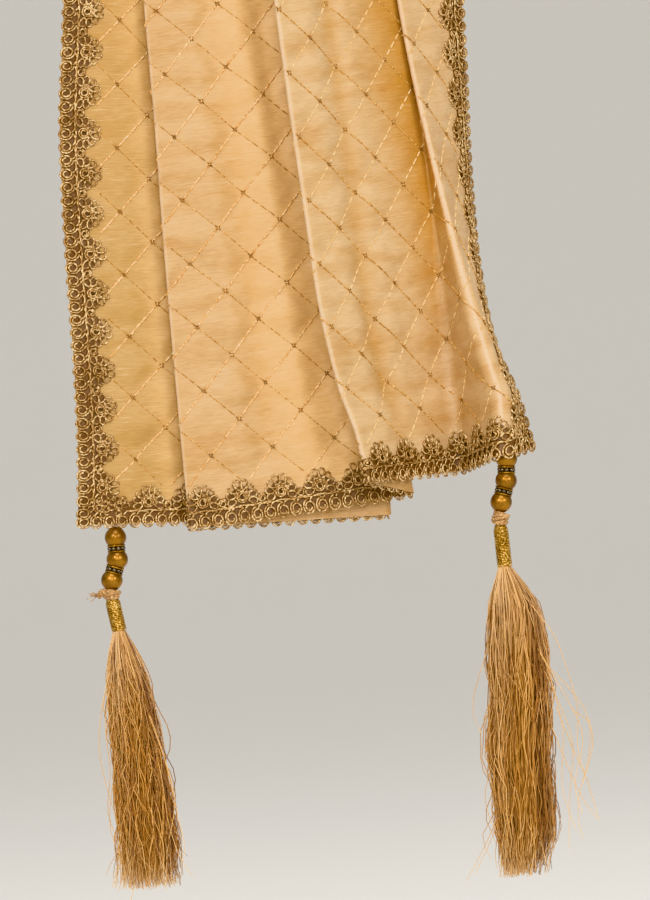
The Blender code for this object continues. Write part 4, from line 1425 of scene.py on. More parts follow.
@dataclass(frozen=True)
class FlowerMotif:
    """One repeat of the corded lace: three coiled rings, a vine and a rosette.

    Lengths are in millimetres along (x), in from the edge (y) and up from the cloth (z).
    """

    cord: float = 0.5               # radius
    ring_pitch: float = 6.32
    vine: float = 7.15              # how far in from the edge the vine runs
    rosette: float = 11.1           # how far in the rosette's middle lies
    ring_steps: int = 13
    sides: int = 4
    petal_steps: int = 9

    def spiral(self, x: float, y: float, outer: float, inner: float, turns: float,
               start: float, rise: float, tallness: float = 1.0) -> Shape:
        """A cord coiled in towards an open middle.

        Args:
            x: its middle along the strip.
            y: its middle in from the edge.
            outer: the radius it starts at.
            inner: the radius it ends at.
            turns: how many times it goes round.
            start: the angle it starts at.
            rise: how far its inner end stands above its outer one.
            tallness: how much longer it is across the strip than along it.

        Returns:
            The coiled cord.
        """
        t = np.linspace(0.0, 1.0, max(6, round(self.ring_steps * turns)))
        angle = start + 2 * math.pi * turns * t
        radius = outer + (inner - outer) * t
        path = np.stack((x + radius * np.cos(angle), y + tallness * radius * np.sin(angle),
                         self.cord + rise * t), -1)
        return tube(path, self.cord, self.sides, UP)

    def petal(self, x: float, y: float, angle: float, near: float, far: float,
              breadth: float) -> Shape:
        """A drawn-out loop that points away from the rosette's middle.

        Args:
            x: the rosette's middle along the strip.
            y: and in from the edge.
            angle: the way it points.
            near: how far from the middle it starts.
            far: how far from the middle it ends.
            breadth: half its greatest breadth.

        Returns:
            The loop of cord.
        """
        t = 2 * math.pi * np.arange(self.petal_steps) / self.petal_steps
        out = (near + far) / 2 - (far - near) / 2 * np.cos(t)
        aside = breadth * np.sin(t) * (0.75 + 0.4 * (out - near) / (far - near))
        lift = self.cord * 1.1 + 0.5 * np.sin(t + 0.6)
        c, s = math.cos(angle), math.sin(angle)
        path = np.stack((x + out * c - aside * s, y + out * s + aside * c, lift), -1)
        return tube(path, self.cord, self.sides, UP, closed=True)

    def coil(self, x: float) -> Shape:
        """One coiled ring of the outer row."""
        return self.spiral(x, 2.3, 3.15, 1.2, 1.75, math.pi / 2, 0.55, 1.18)

    def ring(self, x: float) -> Shape:
        """One coiled ring with the tail that joins it to the next.

        Args:
            x: its middle along the strip.

        Returns:
            The ring.
        """
        knots = np.array(((x, 6.17, 0.45), (x - 1.6, 6.75, 0.7), (x - 3.5, 7.15, 1.0),
                          (x - 5.2, 6.3, 1.2), (x - 5.9, 5.0, 0.9)))
        tail = smooth_path(knots, np.linspace(0.0, 1.0, self.petal_steps - 2))
        return Shape.joined((self.coil(x), tube(tail, self.cord * 0.9, self.sides, UP)))

    def bud(self, x: float, y: float = 9.6) -> Shape:
        """A small rosette that fills a corner.

        Args:
            x: its middle along the strip.
            y: its middle in from the edge.

        Returns:
            The rosette.
        """
        loops = [self.petal(x, y, math.radians(degrees), 2.0, 5.2, 1.3)
                 for degrees in (5, 52, 100, 148, 190, 270)]
        return Shape.joined((self.spiral(x, y, 2.5, 0.9, 1.8, 0.4, 0.6), *loops))

    def build(self) -> Shape:
        """Makes the repeat, centred on its rosette.

        Returns:
            The repeat.
        """
        parts = [self.ring(x) for x in (-self.ring_pitch, 0.0, self.ring_pitch)]
        t = np.linspace(-9.5, 9.5, self.ring_steps)
        vine = np.stack((t, self.vine + 0.3 * np.cos(2 * math.pi * t / 9.5),
                         np.full(len(t), self.cord * 1.8)), -1)
        parts.append(tube(vine, self.cord, self.sides, UP))
        parts.append(self.spiral(0.0, self.rosette, 3.2, 0.95, 2.3, -0.6, 0.9))
        for degrees in (-20, 11, 43, 75, 106, 138, 169, 200):
            far = 8.2 if 60 < degrees < 120 else 7.6
            parts.append(self.petal(0.0, self.rosette, math.radians(degrees), 3.3, far, 1.6))
        parts.append(self.spiral(9.5, 9.4, 2.0, 0.8, 1.5, 0.4, 0.4))
        return Shape.joined(parts)


@dataclass
class Lace:
    """The corded flower lace, one strip along each edge."""

    surface: DrapedSurface
    tree: bpy.types.NodeTree
    lift: float = 0.35
    corner_rings: tuple[float, ...] = (8.6, 14.7, 20.8, 15.7, 9.6)  # from both ends of a hem
    edge_rings: tuple[float, ...] = (2.4, 6.5)      # from each end of a long edge
    buds: tuple[float, float] = (19.0, 8.8)         # from the ends of a hem and a long edge
    near: FlowerMotif = FlowerMotif()
    far: FlowerMotif = FlowerMotif(ring_steps=7, sides=3, petal_steps=5)

    def strip(self, course: LaceCourse) -> Shape:
        """The whole strip of one edge, laid on the silk.

        Args:
            course: the edge.

        Returns:
            The strip.
        """
        hem = course in (LaceCourse.FRONT_HEM, LaceCourse.BACK_HEM)
        start, end = LACE_HEM_RUN if hem else LACE_EDGE_RUN
        length = CLOTH_WIDTH if hem else CLOTH_LENGTH
        count = round((end - start) / LACE_PITCH)
        middles = start + (end - start) * (np.arange(count) + 0.5) / count
        close = (middles < NEAR_END) & (course is not LaceCourse.BACK_HEM) | (
            course is LaceCourse.FRONT_HEM)
        if hem:
            rings = (*self.corner_rings[:3], *(length - x for x in self.corner_rings[3:]))
        else:
            rings = (*self.edge_rings, *(length - x for x in self.edge_rings[::-1]))
        bud = self.buds[not hem]
        parts = [self.near.coil(x) for x in rings]
        parts += [self.near.bud(bud), self.near.bud(length - bud + 4.0 * hem)]
        for motif, chosen in ((self.near, middles[close]), (self.far, middles[~close])):
            if len(chosen) == 0:
                continue
            points = np.stack((chosen, np.zeros(len(chosen)), np.zeros(len(chosen))), -1)
            frames = np.broadcast_to(np.eye(3), (len(chosen), 3, 3))
            sizes = np.broadcast_to(((end - start) / count / LACE_PITCH, 1.0, 1.0), points.shape)
            parts.append(scattered(motif.build(), points, frames, sizes, self.tree,
                                   Finish.LACE_CORD))
        flat = Shape.joined(parts)
        u, v = course.spot(flat.points[:, 0], flat.points[:, 1])
        points, normals = self.surface.at(u, v)
        laid = flat.moved(points + normals * (self.lift + flat.points[:, 2:3]))
        return laid.flipped() if course.turned_over else laid

    def build(self) -> None:
        """Makes the four strips."""
        for course in LaceCourse:
            add_piece(f"corded_{course.value}", self.strip(course), Finish.LACE_CORD,
                      [course.value])


# ================================================================ hand stitches
class StitchLine(Enum):
    """The two sets of lattice lines: the sign of u against v, and where one line starts."""

    RISING = (1, RISING_START)
    FALLING = (-1, FALLING_START)


@dataclass
class LatticeStitching:
    """Running stitches in a diamond lattice, with a small four-petal knot at each crossing.

    The first crossing taken is at (27, 2) on the flat cloth, where both sets of lines meet.
    """

    surface: DrapedSurface
    tree: bpy.types.NodeTree
    per_side: int = 9               # stitches along each side of a diamond
    margin: float = 17.0
    lift: float = 0.3
    light_from: float = 385.0       # u past which the rising lines are in pale thread
    first_crossing: tuple[float, float] = (27.0, 2.0)
    seed: int = 8

    def stitch(self, length: float, width: float) -> Shape:
        """One stitch: a short flattened spindle along X.

        Args:
            length: its length.
            width: its greatest width.

        Returns:
            The stitch.
        """
        t = np.array((-0.5, -0.34, 0.0, 0.34, 0.5))
        path = np.stack((t * length, np.zeros(5), 0.12 * np.cos(math.pi * t)), -1)
        girths = np.array((0.25, 0.9, 1.0, 0.9, 0.25)) * width / 2
        return tube(path, girths, 4, UP, flatness=0.8)

    def knot(self) -> Shape:
        """A four-petal knot about 3 mm across.

        Returns:
            The knot.
        """
        reach, lift, girth = np.array(((0.3, 0.95, 1.5), (0.3, 0.45, 0.1), (0.22, 0.4, 0.18)))
        return Shape.joined(tube(polar(reach, angle, lift), girth, 4, UP)
                            for angle in math.pi / 4 + round_angles(4))

    def laid(self, shape: Shape, u: Array, v: Array, way: tuple[float, float],
             lengths: Array, finish: Finish) -> Shape:
        """Copies of a stitch on the silk, each turned along its line.

        Args:
            shape: the stitch.
            u: across-places.
            v: along-places.
            way: the line's direction on the flat cloth.
            lengths: each copy's length as a share of the whole.
            finish: its thread.

        Returns:
            The copies.
        """
        points, normals = self.surface.at(u, v)
        ahead, _ = self.surface.at(u + way[0], v + way[1])
        behind, _ = self.surface.at(u - way[0], v - way[1])
        along = unit(ahead - behind)
        aside = unit(np.cross(normals, along))
        frames = np.stack((along, aside, np.cross(along, aside)), -1)
        sizes = np.stack((lengths, np.ones(len(u)), np.ones(len(u))), -1)
        return scattered(shape, points + normals * self.lift, frames, sizes, self.tree, finish)

    def line_places(self, line: StitchLine) -> tuple[Array, Array]:
        """The middles of a set's stitches, in (u, v).

        Args:
            line: the set.

        Returns:
            u and v.
        """
        sense, first = line.value
        step = LATTICE_REPEAT / self.per_side
        v = self.first_crossing[1] + (np.arange(-10, 140) + 0.5) * step
        u = first + LATTICE_REPEAT * np.arange(-40, 40)[:, None] + sense * v
        u, v = u.ravel(), np.broadcast_to(v, u.shape).ravel()
        inside = ((u > self.margin) & (u < CLOTH_WIDTH - self.margin)
                  & (v > self.margin) & (v < NEAR_END))
        return u[inside], v[inside]

    def crossings(self) -> tuple[Array, Array]:
        """Where the two sets of lines cross, in (u, v).

        Returns:
            u and v.
        """
        half, (first_u, first_v) = LATTICE_REPEAT / 2, self.first_crossing
        columns, rows = np.arange(33)[:, None], np.arange(-1, 23)
        u = np.broadcast_to(first_u + half * columns, (len(columns), len(rows)))
        v = first_v + half * (columns % 2) + LATTICE_REPEAT * rows
        inside = ((u > self.margin + 1) & (u < CLOTH_WIDTH - self.margin - 1)
                  & (v > self.margin + 1) & (v < NEAR_END))
        return u[inside], v[inside]

    def build(self) -> None:
        """Makes the stitches and knots."""
        chance = np.random.default_rng(self.seed)
        pitch = LATTICE_REPEAT * math.sqrt(2) / self.per_side
        diagonal = math.sqrt(0.5)
        parts = {Finish.LIGHT_STITCH: [], Finish.GOLD_STITCH: [], Finish.WARM_STITCH: []}
        for line, low, high, width, share, finish in (
                (StitchLine.RISING, 0.0, self.light_from, 1.15, 1.02, Finish.GOLD_STITCH),
                (StitchLine.RISING, self.light_from, CLOTH_WIDTH, 0.85, 0.86, Finish.LIGHT_STITCH),
                (StitchLine.FALLING, 0.0, self.light_from, 0.62, 0.95, Finish.WARM_STITCH),
                (StitchLine.FALLING, self.light_from, CLOTH_WIDTH, 0.85, 1.02, Finish.WARM_STITCH)):
            u, v = self.line_places(line)
            u, v = u[(u >= low) & (u < high)], v[(u >= low) & (u < high)]
            lengths = chance.uniform(0.88, 1.06, len(u))
            parts[finish].append(self.laid(self.stitch(pitch * share, width), u, v,
                                           (diagonal * line.value[0], diagonal), lengths, finish))
        for name, finish in (("lattice_light_stitches", Finish.LIGHT_STITCH),
                             ("lattice_gold_stitches", Finish.GOLD_STITCH),
                             ("lattice_bronze_stitches", Finish.WARM_STITCH)):
            add_piece(name, Shape.joined(parts[finish]), finish, [])
        u, v = self.crossings()
        knots = self.laid(self.knot(), u, v, (1.0, 0.0), chance.uniform(0.85, 1.15, len(u)),
                          Finish.KNOT_STITCH)
        add_piece("lattice_knots", knots, Finish.KNOT_STITCH, [])


# ================================================================ tassels
@dataclass(frozen=True)
class TasselPlan:
    """How one corner's tassel hangs, in millimetres (across, down) from its first bead."""

    name: str
    neck_top: tuple[float, float]
    neck_foot: tuple[float, float]
    skirt_foot: tuple[float, float]
    profile: tuple[tuple[float, float], ...]        # (share of the length, radius)
    strands: int
    bends: int
    seed: int
    sway: tuple[tuple[float, float], ...] = ((0.0, 0.0), (1.0, 0.0))    # (share, across)
    knot_reach: float = 0.0                         # how far its frayed end sticks out
    strays: tuple[tuple[tuple[float, float], ...], ...] = ()    # each through (across, down)


TASSEL_PLANS = (
    TasselPlan("front_a", (-3.7, 28.2), (-1.3, 43.6), (4.0, 165.0),
               ((0.0, 2.8), (0.04, 4.6), (0.09, 6.6), (0.16, 8.6), (0.28, 10.2), (0.5, 11.8),
                (0.8, 14.4), (1.0, 14.4)),
               800, 20, 3, ((0.0, 0.0), (0.28, 1.8), (0.49, 2.5), (0.79, 2.5), (1.0, 1.2)), 7.0,
               (((-3.0, 50.0), (-12.5, 84.0), (-14.0, 98.0), (-11.5, 118.0), (-7.0, 140.0),
                 (-12.6, 163.5)),
                ((-3.0, 52.0), (-10.5, 90.0), (-9.5, 108.0), (-12.0, 128.0), (-7.8, 146.0),
                 (-10.6, 163.0)),
                ((0.0, 60.0), (-8.0, 110.0), (-11.5, 135.0), (-6.5, 156.0), (-7.2, 164.0)),
                ((1.0, 60.0), (6.0, 110.0), (9.0, 135.0), (-1.0, 160.0), (-4.5, 171.0)),
                ((3.0, 60.0), (14.0, 112.0), (16.5, 138.0), (20.5, 152.0), (25.5, 161.0)),
                ((3.0, 60.0), (16.0, 104.0), (20.5, 132.0), (22.5, 148.0), (21.5, 153.0)),
                ((2.0, 55.0), (12.0, 90.0), (17.5, 110.0), (19.5, 122.0), (14.0, 150.0),
                 (12.5, 166.0)))),
    TasselPlan("front_d", (-5.1, 30.6), (-4.3, 50.4), (-5.0, 196.0),
               ((0.0, 2.8), (0.04, 6.0), (0.08, 9.3), (0.14, 12.6), (0.25, 14.4), (0.39, 15.2),
                (0.6, 16.0), (0.87, 14.8), (1.0, 11.5)),
               920, 21, 4,
               ((0.0, 0.0), (0.14, 3.4), (0.39, 2.6), (0.6, 0.6), (0.87, 1.2), (1.0, -1.2)), 1.2,
               (((-4.0, 54.0), (5.0, 72.0), (11.0, 96.0), (22.0, 110.0), (29.0, 122.0),
                 (27.5, 145.0), (22.5, 160.0), (21.5, 172.0), (23.0, 180.0)),
                ((-4.0, 54.0), (7.0, 70.0), (16.0, 84.0), (21.0, 100.0), (24.5, 118.0),
                 (23.5, 138.0), (26.0, 150.0)),
                ((-2.0, 60.0), (8.0, 90.0), (19.0, 112.0), (26.0, 130.0), (21.0, 158.0),
                 (23.5, 168.0)),
                ((22.5, 120.0), (29.5, 126.0), (30.5, 136.0), (27.5, 146.0), (24.5, 154.0)),
                ((15.0, 118.0), (22.0, 140.0), (26.5, 152.0), (29.0, 162.0), (31.0, 172.0)),
                ((10.0, 120.0), (19.0, 148.0), (23.5, 160.0), (28.0, 168.0), (30.5, 171.0)),
                ((2.0, 70.0), (12.0, 100.0), (17.0, 130.0), (15.0, 156.0), (20.0, 176.0)),
                ((2.0, 80.0), (14.0, 110.0), (21.0, 134.0), (18.0, 160.0), (16.0, 184.0)),
                ((-14.0, 86.0), (-20.5, 101.0), (-23.5, 110.0), (-24.0, 120.0), (-21.0, 128.0)),
                ((-14.0, 100.0), (-17.0, 122.0), (-17.5, 142.0), (-21.5, 158.0), (-19.0, 170.0),
                 (-15.0, 178.0)),
                ((-10.0, 140.0), (-18.0, 170.0), (-25.5, 184.0), (-33.0, 196.0)),
                ((-8.0, 140.0), (-16.0, 168.0), (-22.5, 182.0), (-29.0, 193.0)),
                ((0.0, 80.0), (8.0, 120.0), (2.0, 150.0), (-5.0, 176.0), (-2.0, 196.0)),
                ((-8.0, 76.0), (-2.0, 110.0), (5.0, 132.0), (1.0, 166.0), (5.0, 190.0)))),
    TasselPlan("back_a", (0.0, 29.9), (0.0, 46.9), (0.0, 172.0),
               ((0.0, 2.9), (0.07, 6.0), (0.5, 12.4), (1.0, 15.0)), 460, 10, 5,
               strays=(((-2.0, 55.0), (-12.0, 100.0), (-17.0, 150.0)),
                       ((3.0, 60.0), (14.0, 110.0), (19.0, 160.0)))),
    TasselPlan("back_d", (0.0, 29.9), (0.0, 47.4), (0.0, 184.0),
               ((0.0, 2.9), (0.07, 7.6), (0.5, 16.2), (1.0, 12.6)), 460, 10, 6,
               strays=(((-2.0, 55.0), (-16.0, 100.0), (-19.0, 160.0)),
                       ((3.0, 60.0), (17.0, 110.0), (21.0, 170.0)))),
)


# Half sections of a rondelle's core and of one stone: (radius, height), pole to pole.
RONDELLE_CORE = ((0, 1.0), (1.6, 1.0), (2.5, 0.5), (2.5, -0.5), (1.6, -1.0), (0, -1.0))
STONE = ((0, 1.15), (0.62, 1.05), (1.12, 0.45), (1.12, 0.0), (0.5, -0.7), (0, -0.8))


@dataclass
class Tassel:
    """Three gold beads with set rondelles between, a thread knot, a wound neck and a skirt."""

    plan: TasselPlan
    threads: bpy.types.NodeTree
    bead_radius: float = 5.1
    rondelle_radius: float = 4.3
    rondelle_half: float = 1.75
    stones: int = 9
    rim: float = 0.42               # radius of a rondelle's rims
    cord: float = 0.75              # radius of the knot's thread
    knot_turns: float = 6.5
    neck_radius: float = 3.25
    wire: float = 0.42              # radius of the neck's winding
    floss: float = 0.27             # radius of one drawn strand
    wavers: tuple[tuple[float, float], ...] = (     # (cycles along a strand, mm aside)
        (0.8, 2.2), (1.9, 1.6), (3.6, 1.15), (6.4, 0.6))
    wild: tuple[float, float] = (0.15, 2.1)         # share of wild strands, and how wild
    locks: int = 11                 # clefts between the skirt's locks

    @property
    def first(self) -> Array:
        """The first bead's middle."""
        return self.bead_middle(1)

    def below(self, place: tuple[float, float]) -> Array:
        """A place given across and down from the first bead."""
        return self.first + np.array((place[0], 0.0, -place[1]))

    def bead_middle(self, number: int) -> Array:
        """The middle of a bead."""
        low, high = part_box(f"bead_{self.plan.name}_{number}")
        return np.array((low + high) / 2) / MM

    def build_beads(self) -> None:
        """Makes the beads and the rondelles between them."""
        centres = [self.bead_middle(k) for k in (1, 2, 3)]
        profile = [(self.bead_radius * math.sin(a), self.bead_radius * math.cos(a))
                   for a in np.linspace(0.0, math.pi, 15)]
        profile[0], profile[-1] = ((0.0, sign * self.bead_radius * 0.985) for sign in (1, -1))
        for number, centre in enumerate(centres, 1):
            axis = centres[max(number - 2, 0)] - centres[max(number - 1, 1)]
            add_piece(f"pearl_bead_{self.plan.name}_{number}",
                      placed(turned(profile, 24), centre, axis), Finish.GOLD_BEAD,
                      [f"bead_{self.plan.name}_{number}"])
        for number, (above, under) in enumerate(zip(centres[:-1], centres[1:]), 1):
            self.build_rondelle(number, (above + under) / 2, above - under)

    def build_rondelle(self, number: int, middle: Array, axis: Array) -> None:
        """Makes one rondelle: two brass rims with dark stones set between them.

        Args:
            number: which of the tassel's rondelles it is.
            middle: its middle.
            axis: the way the thread goes through it.
        """
        rims = [tube(polar(self.rondelle_radius - 0.35, round_angles(28),
                           side * (self.rondelle_half - 0.4)),
                     self.rim, 6, UP, closed=True) for side in (-1, 1)]
        core = turned(RONDELLE_CORE, 16)
        ways = polar(1.0, 2 * math.pi * (np.arange(self.stones) + 0.5) / self.stones, 0.0)
        stones = [placed(turned(STONE, 8), way * (self.rondelle_radius - 1.15), way)
                  for way in ways]
        for title, shape, finish, nodes in (
                ("rims", Shape.joined((*rims, core)), Finish.BRASS_RIM,
                 [f"rondelle_{self.plan.name}_{number}"]),
                ("stones", Shape.joined(stones), Finish.DARK_STONE, [])):
            add_piece(f"rondelle_{title}_{self.plan.name}_{number}", placed(shape, middle, axis),
                      finish, nodes)

    def build_knot(self) -> None:
        """Makes the wrapped thread above the neck, and the thread up through to the hem."""
        top, last = self.below(self.plan.neck_top), self.bead_middle(3)
        up = unit(last - top)
        under = last - up * (self.bead_radius - 0.4)
        middle, half = (under + top) / 2, float(np.linalg.norm(under - top)) / 2
        chance = np.random.default_rng(self.plan.seed)
        t = np.linspace(0.0, 1.0, 120)
        angle = 2 * math.pi * self.knot_turns * t
        bulge = np.sin(math.pi * np.clip(t * 0.9 + 0.05, 0.0, 1.0)) ** 0.5
        radius = 1.3 + 2.3 * bulge + 0.3 * np.sin(angle * 0.37 + 1.0)
        coil = polar(radius, angle, 0.85 * half * (1 - 2 * t) + 1.1 * bulge * np.sin(angle * 0.87))
        core = turned(((0, half), (1.9, half * 0.9), (3.4, 0.2), (2.7, -half * 0.8),
                       (0, -half)), 12)
        parts = [placed(tube(coil, self.cord, 6, UP), middle, up),
                 placed(core, middle, up)]
        hem = self.first + (0, 0, self.bead_radius + 2.2)
        for shift in (-0.45, 0.45):
            path = np.linspace(hem, self.first + (0, 0, self.bead_radius - 1.0), 5)
            parts.append(tube(path + (shift, 0, 0), 0.42, 5, AWAY))
        if self.plan.knot_reach:
            parts += self.knot_ends(middle, chance)
        add_piece(f"wrapped_knot_{self.plan.name}", Shape.joined(parts), Finish.PEACH_THREAD,
                  [f"knot_{self.plan.name}"])

    def knot_ends(self, middle: Array, chance: np.random.Generator) -> list[Shape]:
        """The knot's thick turned-back end and its fray, which stick out to the left.

        Args:
            middle: the knot's middle.
            chance: the random numbers to draw from.

        Returns:
            The thick threads, then the thin ones.
        """
        reach = self.plan.knot_reach
        t = np.linspace(0.0, 1.0, 9)[:, None]
        arch = np.sin(math.pi * t)
        parts = []
        for lift, girth, share in ((1.0, 0.95, 0.8), (0.1, 1.0, 0.85), (-0.8, 0.8, 0.75),
                                   (0.5, 0.8, 0.6)):
            path = middle + np.concatenate((-1.0 - reach * share * t, -1.2 - 1.0 * arch,
                                            lift + 1.4 * arch - 0.8 * t), 1)
            girths = girth * np.interp(t[:, 0], (0, 0.8, 1), (1, 1, 0.6))
            parts.append(tube(path, girths, 6, AWAY))
        for _ in range(9):
            start = middle + np.array((-0.7 * reach, -1.2, chance.uniform(-0.6, 0.8)))
            end = middle + np.array((-reach * chance.uniform(1.1, 1.55) - 1.0,
                                     chance.uniform(-2.6, 0.4), chance.uniform(-3.2, 2.0)))
            path = start + t * (end - start) + arch * (0.0, -0.4, chance.uniform(-0.5, 0.8))
            parts.append(tube(path, 0.16, 4, AWAY))
        return parts

    def build_neck(self) -> None:
        """Makes the neck: a core closely wound with gold wire."""
        top, foot = self.below(self.plan.neck_top), self.below(self.plan.neck_foot)
        length, radius = float(np.linalg.norm(top - foot)), self.neck_radius
        core = turned(((0, 0), (radius * 0.7, 0), (radius, -length * 0.15), (radius, -length),
                       (0, -length)), 20)
        turns = length / (2 * self.wire * 0.95)
        t = np.linspace(0.0, 1.0, round(turns * 14))
        angle = 2 * math.pi * turns * t
        swell = radius * np.interp(t, (0.0, 0.15, 1.0), (0.72, 1.0, 1.0))
        wire = tube(polar(swell, angle, -length * t), self.wire, 5, UP)
        shape = placed(Shape.joined((core, wire)), top, top - foot)
        add_piece(f"wound_neck_{self.plan.name}", shape, Finish.NECK_WIRE,
                  [f"neck_{self.plan.name}"])

    def strand_paths(self) -> tuple[Array, Array, Array]:
        """The skirt's strands.

        Returns:
            Points (strands, bends, 3), the radius at each, and each one's share of the way down.
        """
        plan = self.plan
        chance = np.random.default_rng(plan.seed + 100)
        top, foot = self.below(plan.neck_foot), self.below(plan.skirt_foot)
        count, bends = plan.strands, plan.bends
        angle = chance.uniform(0.0, 2 * math.pi, count)[:, None]
        share = (chance.uniform(0.0, 1.0, count) ** 0.5)[:, None]
        reach = (1.0 - 0.15 * chance.uniform(0.0, 1.0, count) ** 1.6)[:, None]
        t = np.linspace(0.0, 1.0, bends)[None, :] ** 0.9 * reach
        shares, radii = zip(*plan.profile)
        radius = np.interp(t, shares, radii) * share
        wild_share, wildness = self.wild
        wild = np.where(chance.uniform(0.0, 1.0, (count, 1)) < wild_share, wildness, 1.0)
        waver = np.zeros((2, count, bends))
        for cycles, size in self.wavers:
            for axis in (0, 1):
                phase = chance.uniform(0.0, 2 * math.pi, (count, 1))
                strength = (chance.uniform(0.2, 1.0, (count, 1)) * wild
                            * chance.uniform(0.8, 1.2, (count, 1)))
                waver[axis] += (size * strength * np.sin(2 * math.pi * cycles * t + phase)
                                * np.minimum(3.2 * t, 1.0))
        locks = chance.uniform(0.0, 2 * math.pi, self.locks)
        nearest = np.abs((angle - locks + math.pi) % (2 * math.pi) - math.pi).min(1)[:, None]
        cleft = smooth_step(0.08, 0.4, nearest) * smooth_step(0.0, 0.3, t)
        radius = radius * (1.0 - 0.16 * cleft)
        swirl = angle + 0.3 * t * np.sin(angle * 2 + 1.0)
        middle = top + t[..., None] * (foot - top)
        middle[..., 0] += np.interp(t, *zip(*plan.sway))
        flare = smooth_step(0.93, 1.0, t) * chance.uniform(-1.2, 2.0, (count, 1))
        offset = polar(radius * (1 + 0.1 * flare), swirl, 0.0)
        offset[..., :2] += np.moveaxis(waver, 0, -1)
        girth = self.floss * np.interp(t / reach, (0.0, 0.85, 1.0), (1.0, 0.95, 0.45))
        return middle + offset, girth, t / reach

    def stray_paths(self) -> tuple[Array, Array, Array]:
        """The few strands that leave the skirt, in the same form.

        Returns:
            Points, radii and shares.
        """
        plan = self.plan
        t = np.linspace(0.0, 1.0, plan.bends)
        paths = []
        for number, stray in enumerate(plan.strays):
            knots = np.array([self.below(place) for place in stray])
            knots[:, 1] -= np.interp(np.arange(len(knots)), (0, 1, len(knots)),
                                     (2.0, 9.0, 7.0 + number % 4))
            paths.append(smooth_path(knots, t))
        girth = np.tile(self.floss * np.interp(t, (0.0, 1.0), (0.85, 0.6)), (len(paths), 1))
        share = np.tile(np.interp(t, (0.0, 0.7, 1.0), (0.2, 0.9, 1.0)), (len(paths), 1))
        return np.array(paths), girth, share

    def build_skirt(self) -> None:
        """Makes the silk skirt from single strands."""
        paths, girths, shares = (np.concatenate(both) for both in zip(
            self.strand_paths(), self.stray_paths()))
        count, bends = girths.shape
        rows = np.arange(count)[:, None] * bends + np.arange(bends - 1)
        edges = np.stack((rows, rows + 1), -1).reshape(-1, 2)
        own = np.random.default_rng(self.plan.seed).uniform(0.0, 0.75, count)
        # Lighter in some locks, and lighter towards the left and darker towards the right: painted
        # highlight and shade across the skirt, over each strand's random tone.
        spread = paths[:, bends // 3, 0] - paths[:, bends // 3, 0].mean()
        own += 0.14 + 0.14 * np.sin(spread * 0.55) - 0.1 * np.sin(spread * 0.17) - 0.008 * spread
        own[count - len(self.plan.strays):] = 1.0
        own = np.repeat(np.clip(own, 0.0, 1.0), bends)
        carrier = carrier_of("strands", paths.reshape(-1, 3), edges, girth=girths.ravel() * MM,
                             share=shares.ravel(), strand=own)
        mesh = run_tree(carrier, self.threads, Sides=3, Finish=Finish.FLOSS.material())
        mesh.shade_smooth()
        add_piece(f"floss_skirt_{self.plan.name}", mesh, Finish.FLOSS,
                  [f"skirt_{self.plan.name}"])

    def build(self) -> None:
        """Makes the whole tassel."""
        self.build_beads()
        self.build_knot()
        self.build_neck()
        self.build_skirt()


# ================================================================ the studio
@dataclass(frozen=True)
class SoftLight:
    """A large square lamp, in metres and watts."""

    name: str
    place: tuple[float, float, float]
    aim: tuple[float, float, float]
    size: float
    power: float
    colour: str
    only_shines: bool = False       # seen in glossy surfaces but lighting nothing else

    def build(self) -> None:
        """Makes the lamp."""
        lamp = bpy.data.lights.new(self.name, "AREA")
        lamp.shape, lamp.size, lamp.energy = "SQUARE", self.size, self.power
        lamp.color = linear(self.colour)[:3]
        made = bpy.data.objects.new(self.name, lamp)
        made.visible_diffuse = not self.only_shines
        made.location = self.place
        way = Vector(self.aim) - Vector(self.place)
        made.rotation_euler = way.to_track_quat("-Z", "Y").to_euler()
        bpy.context.scene.collection.objects.link(made)


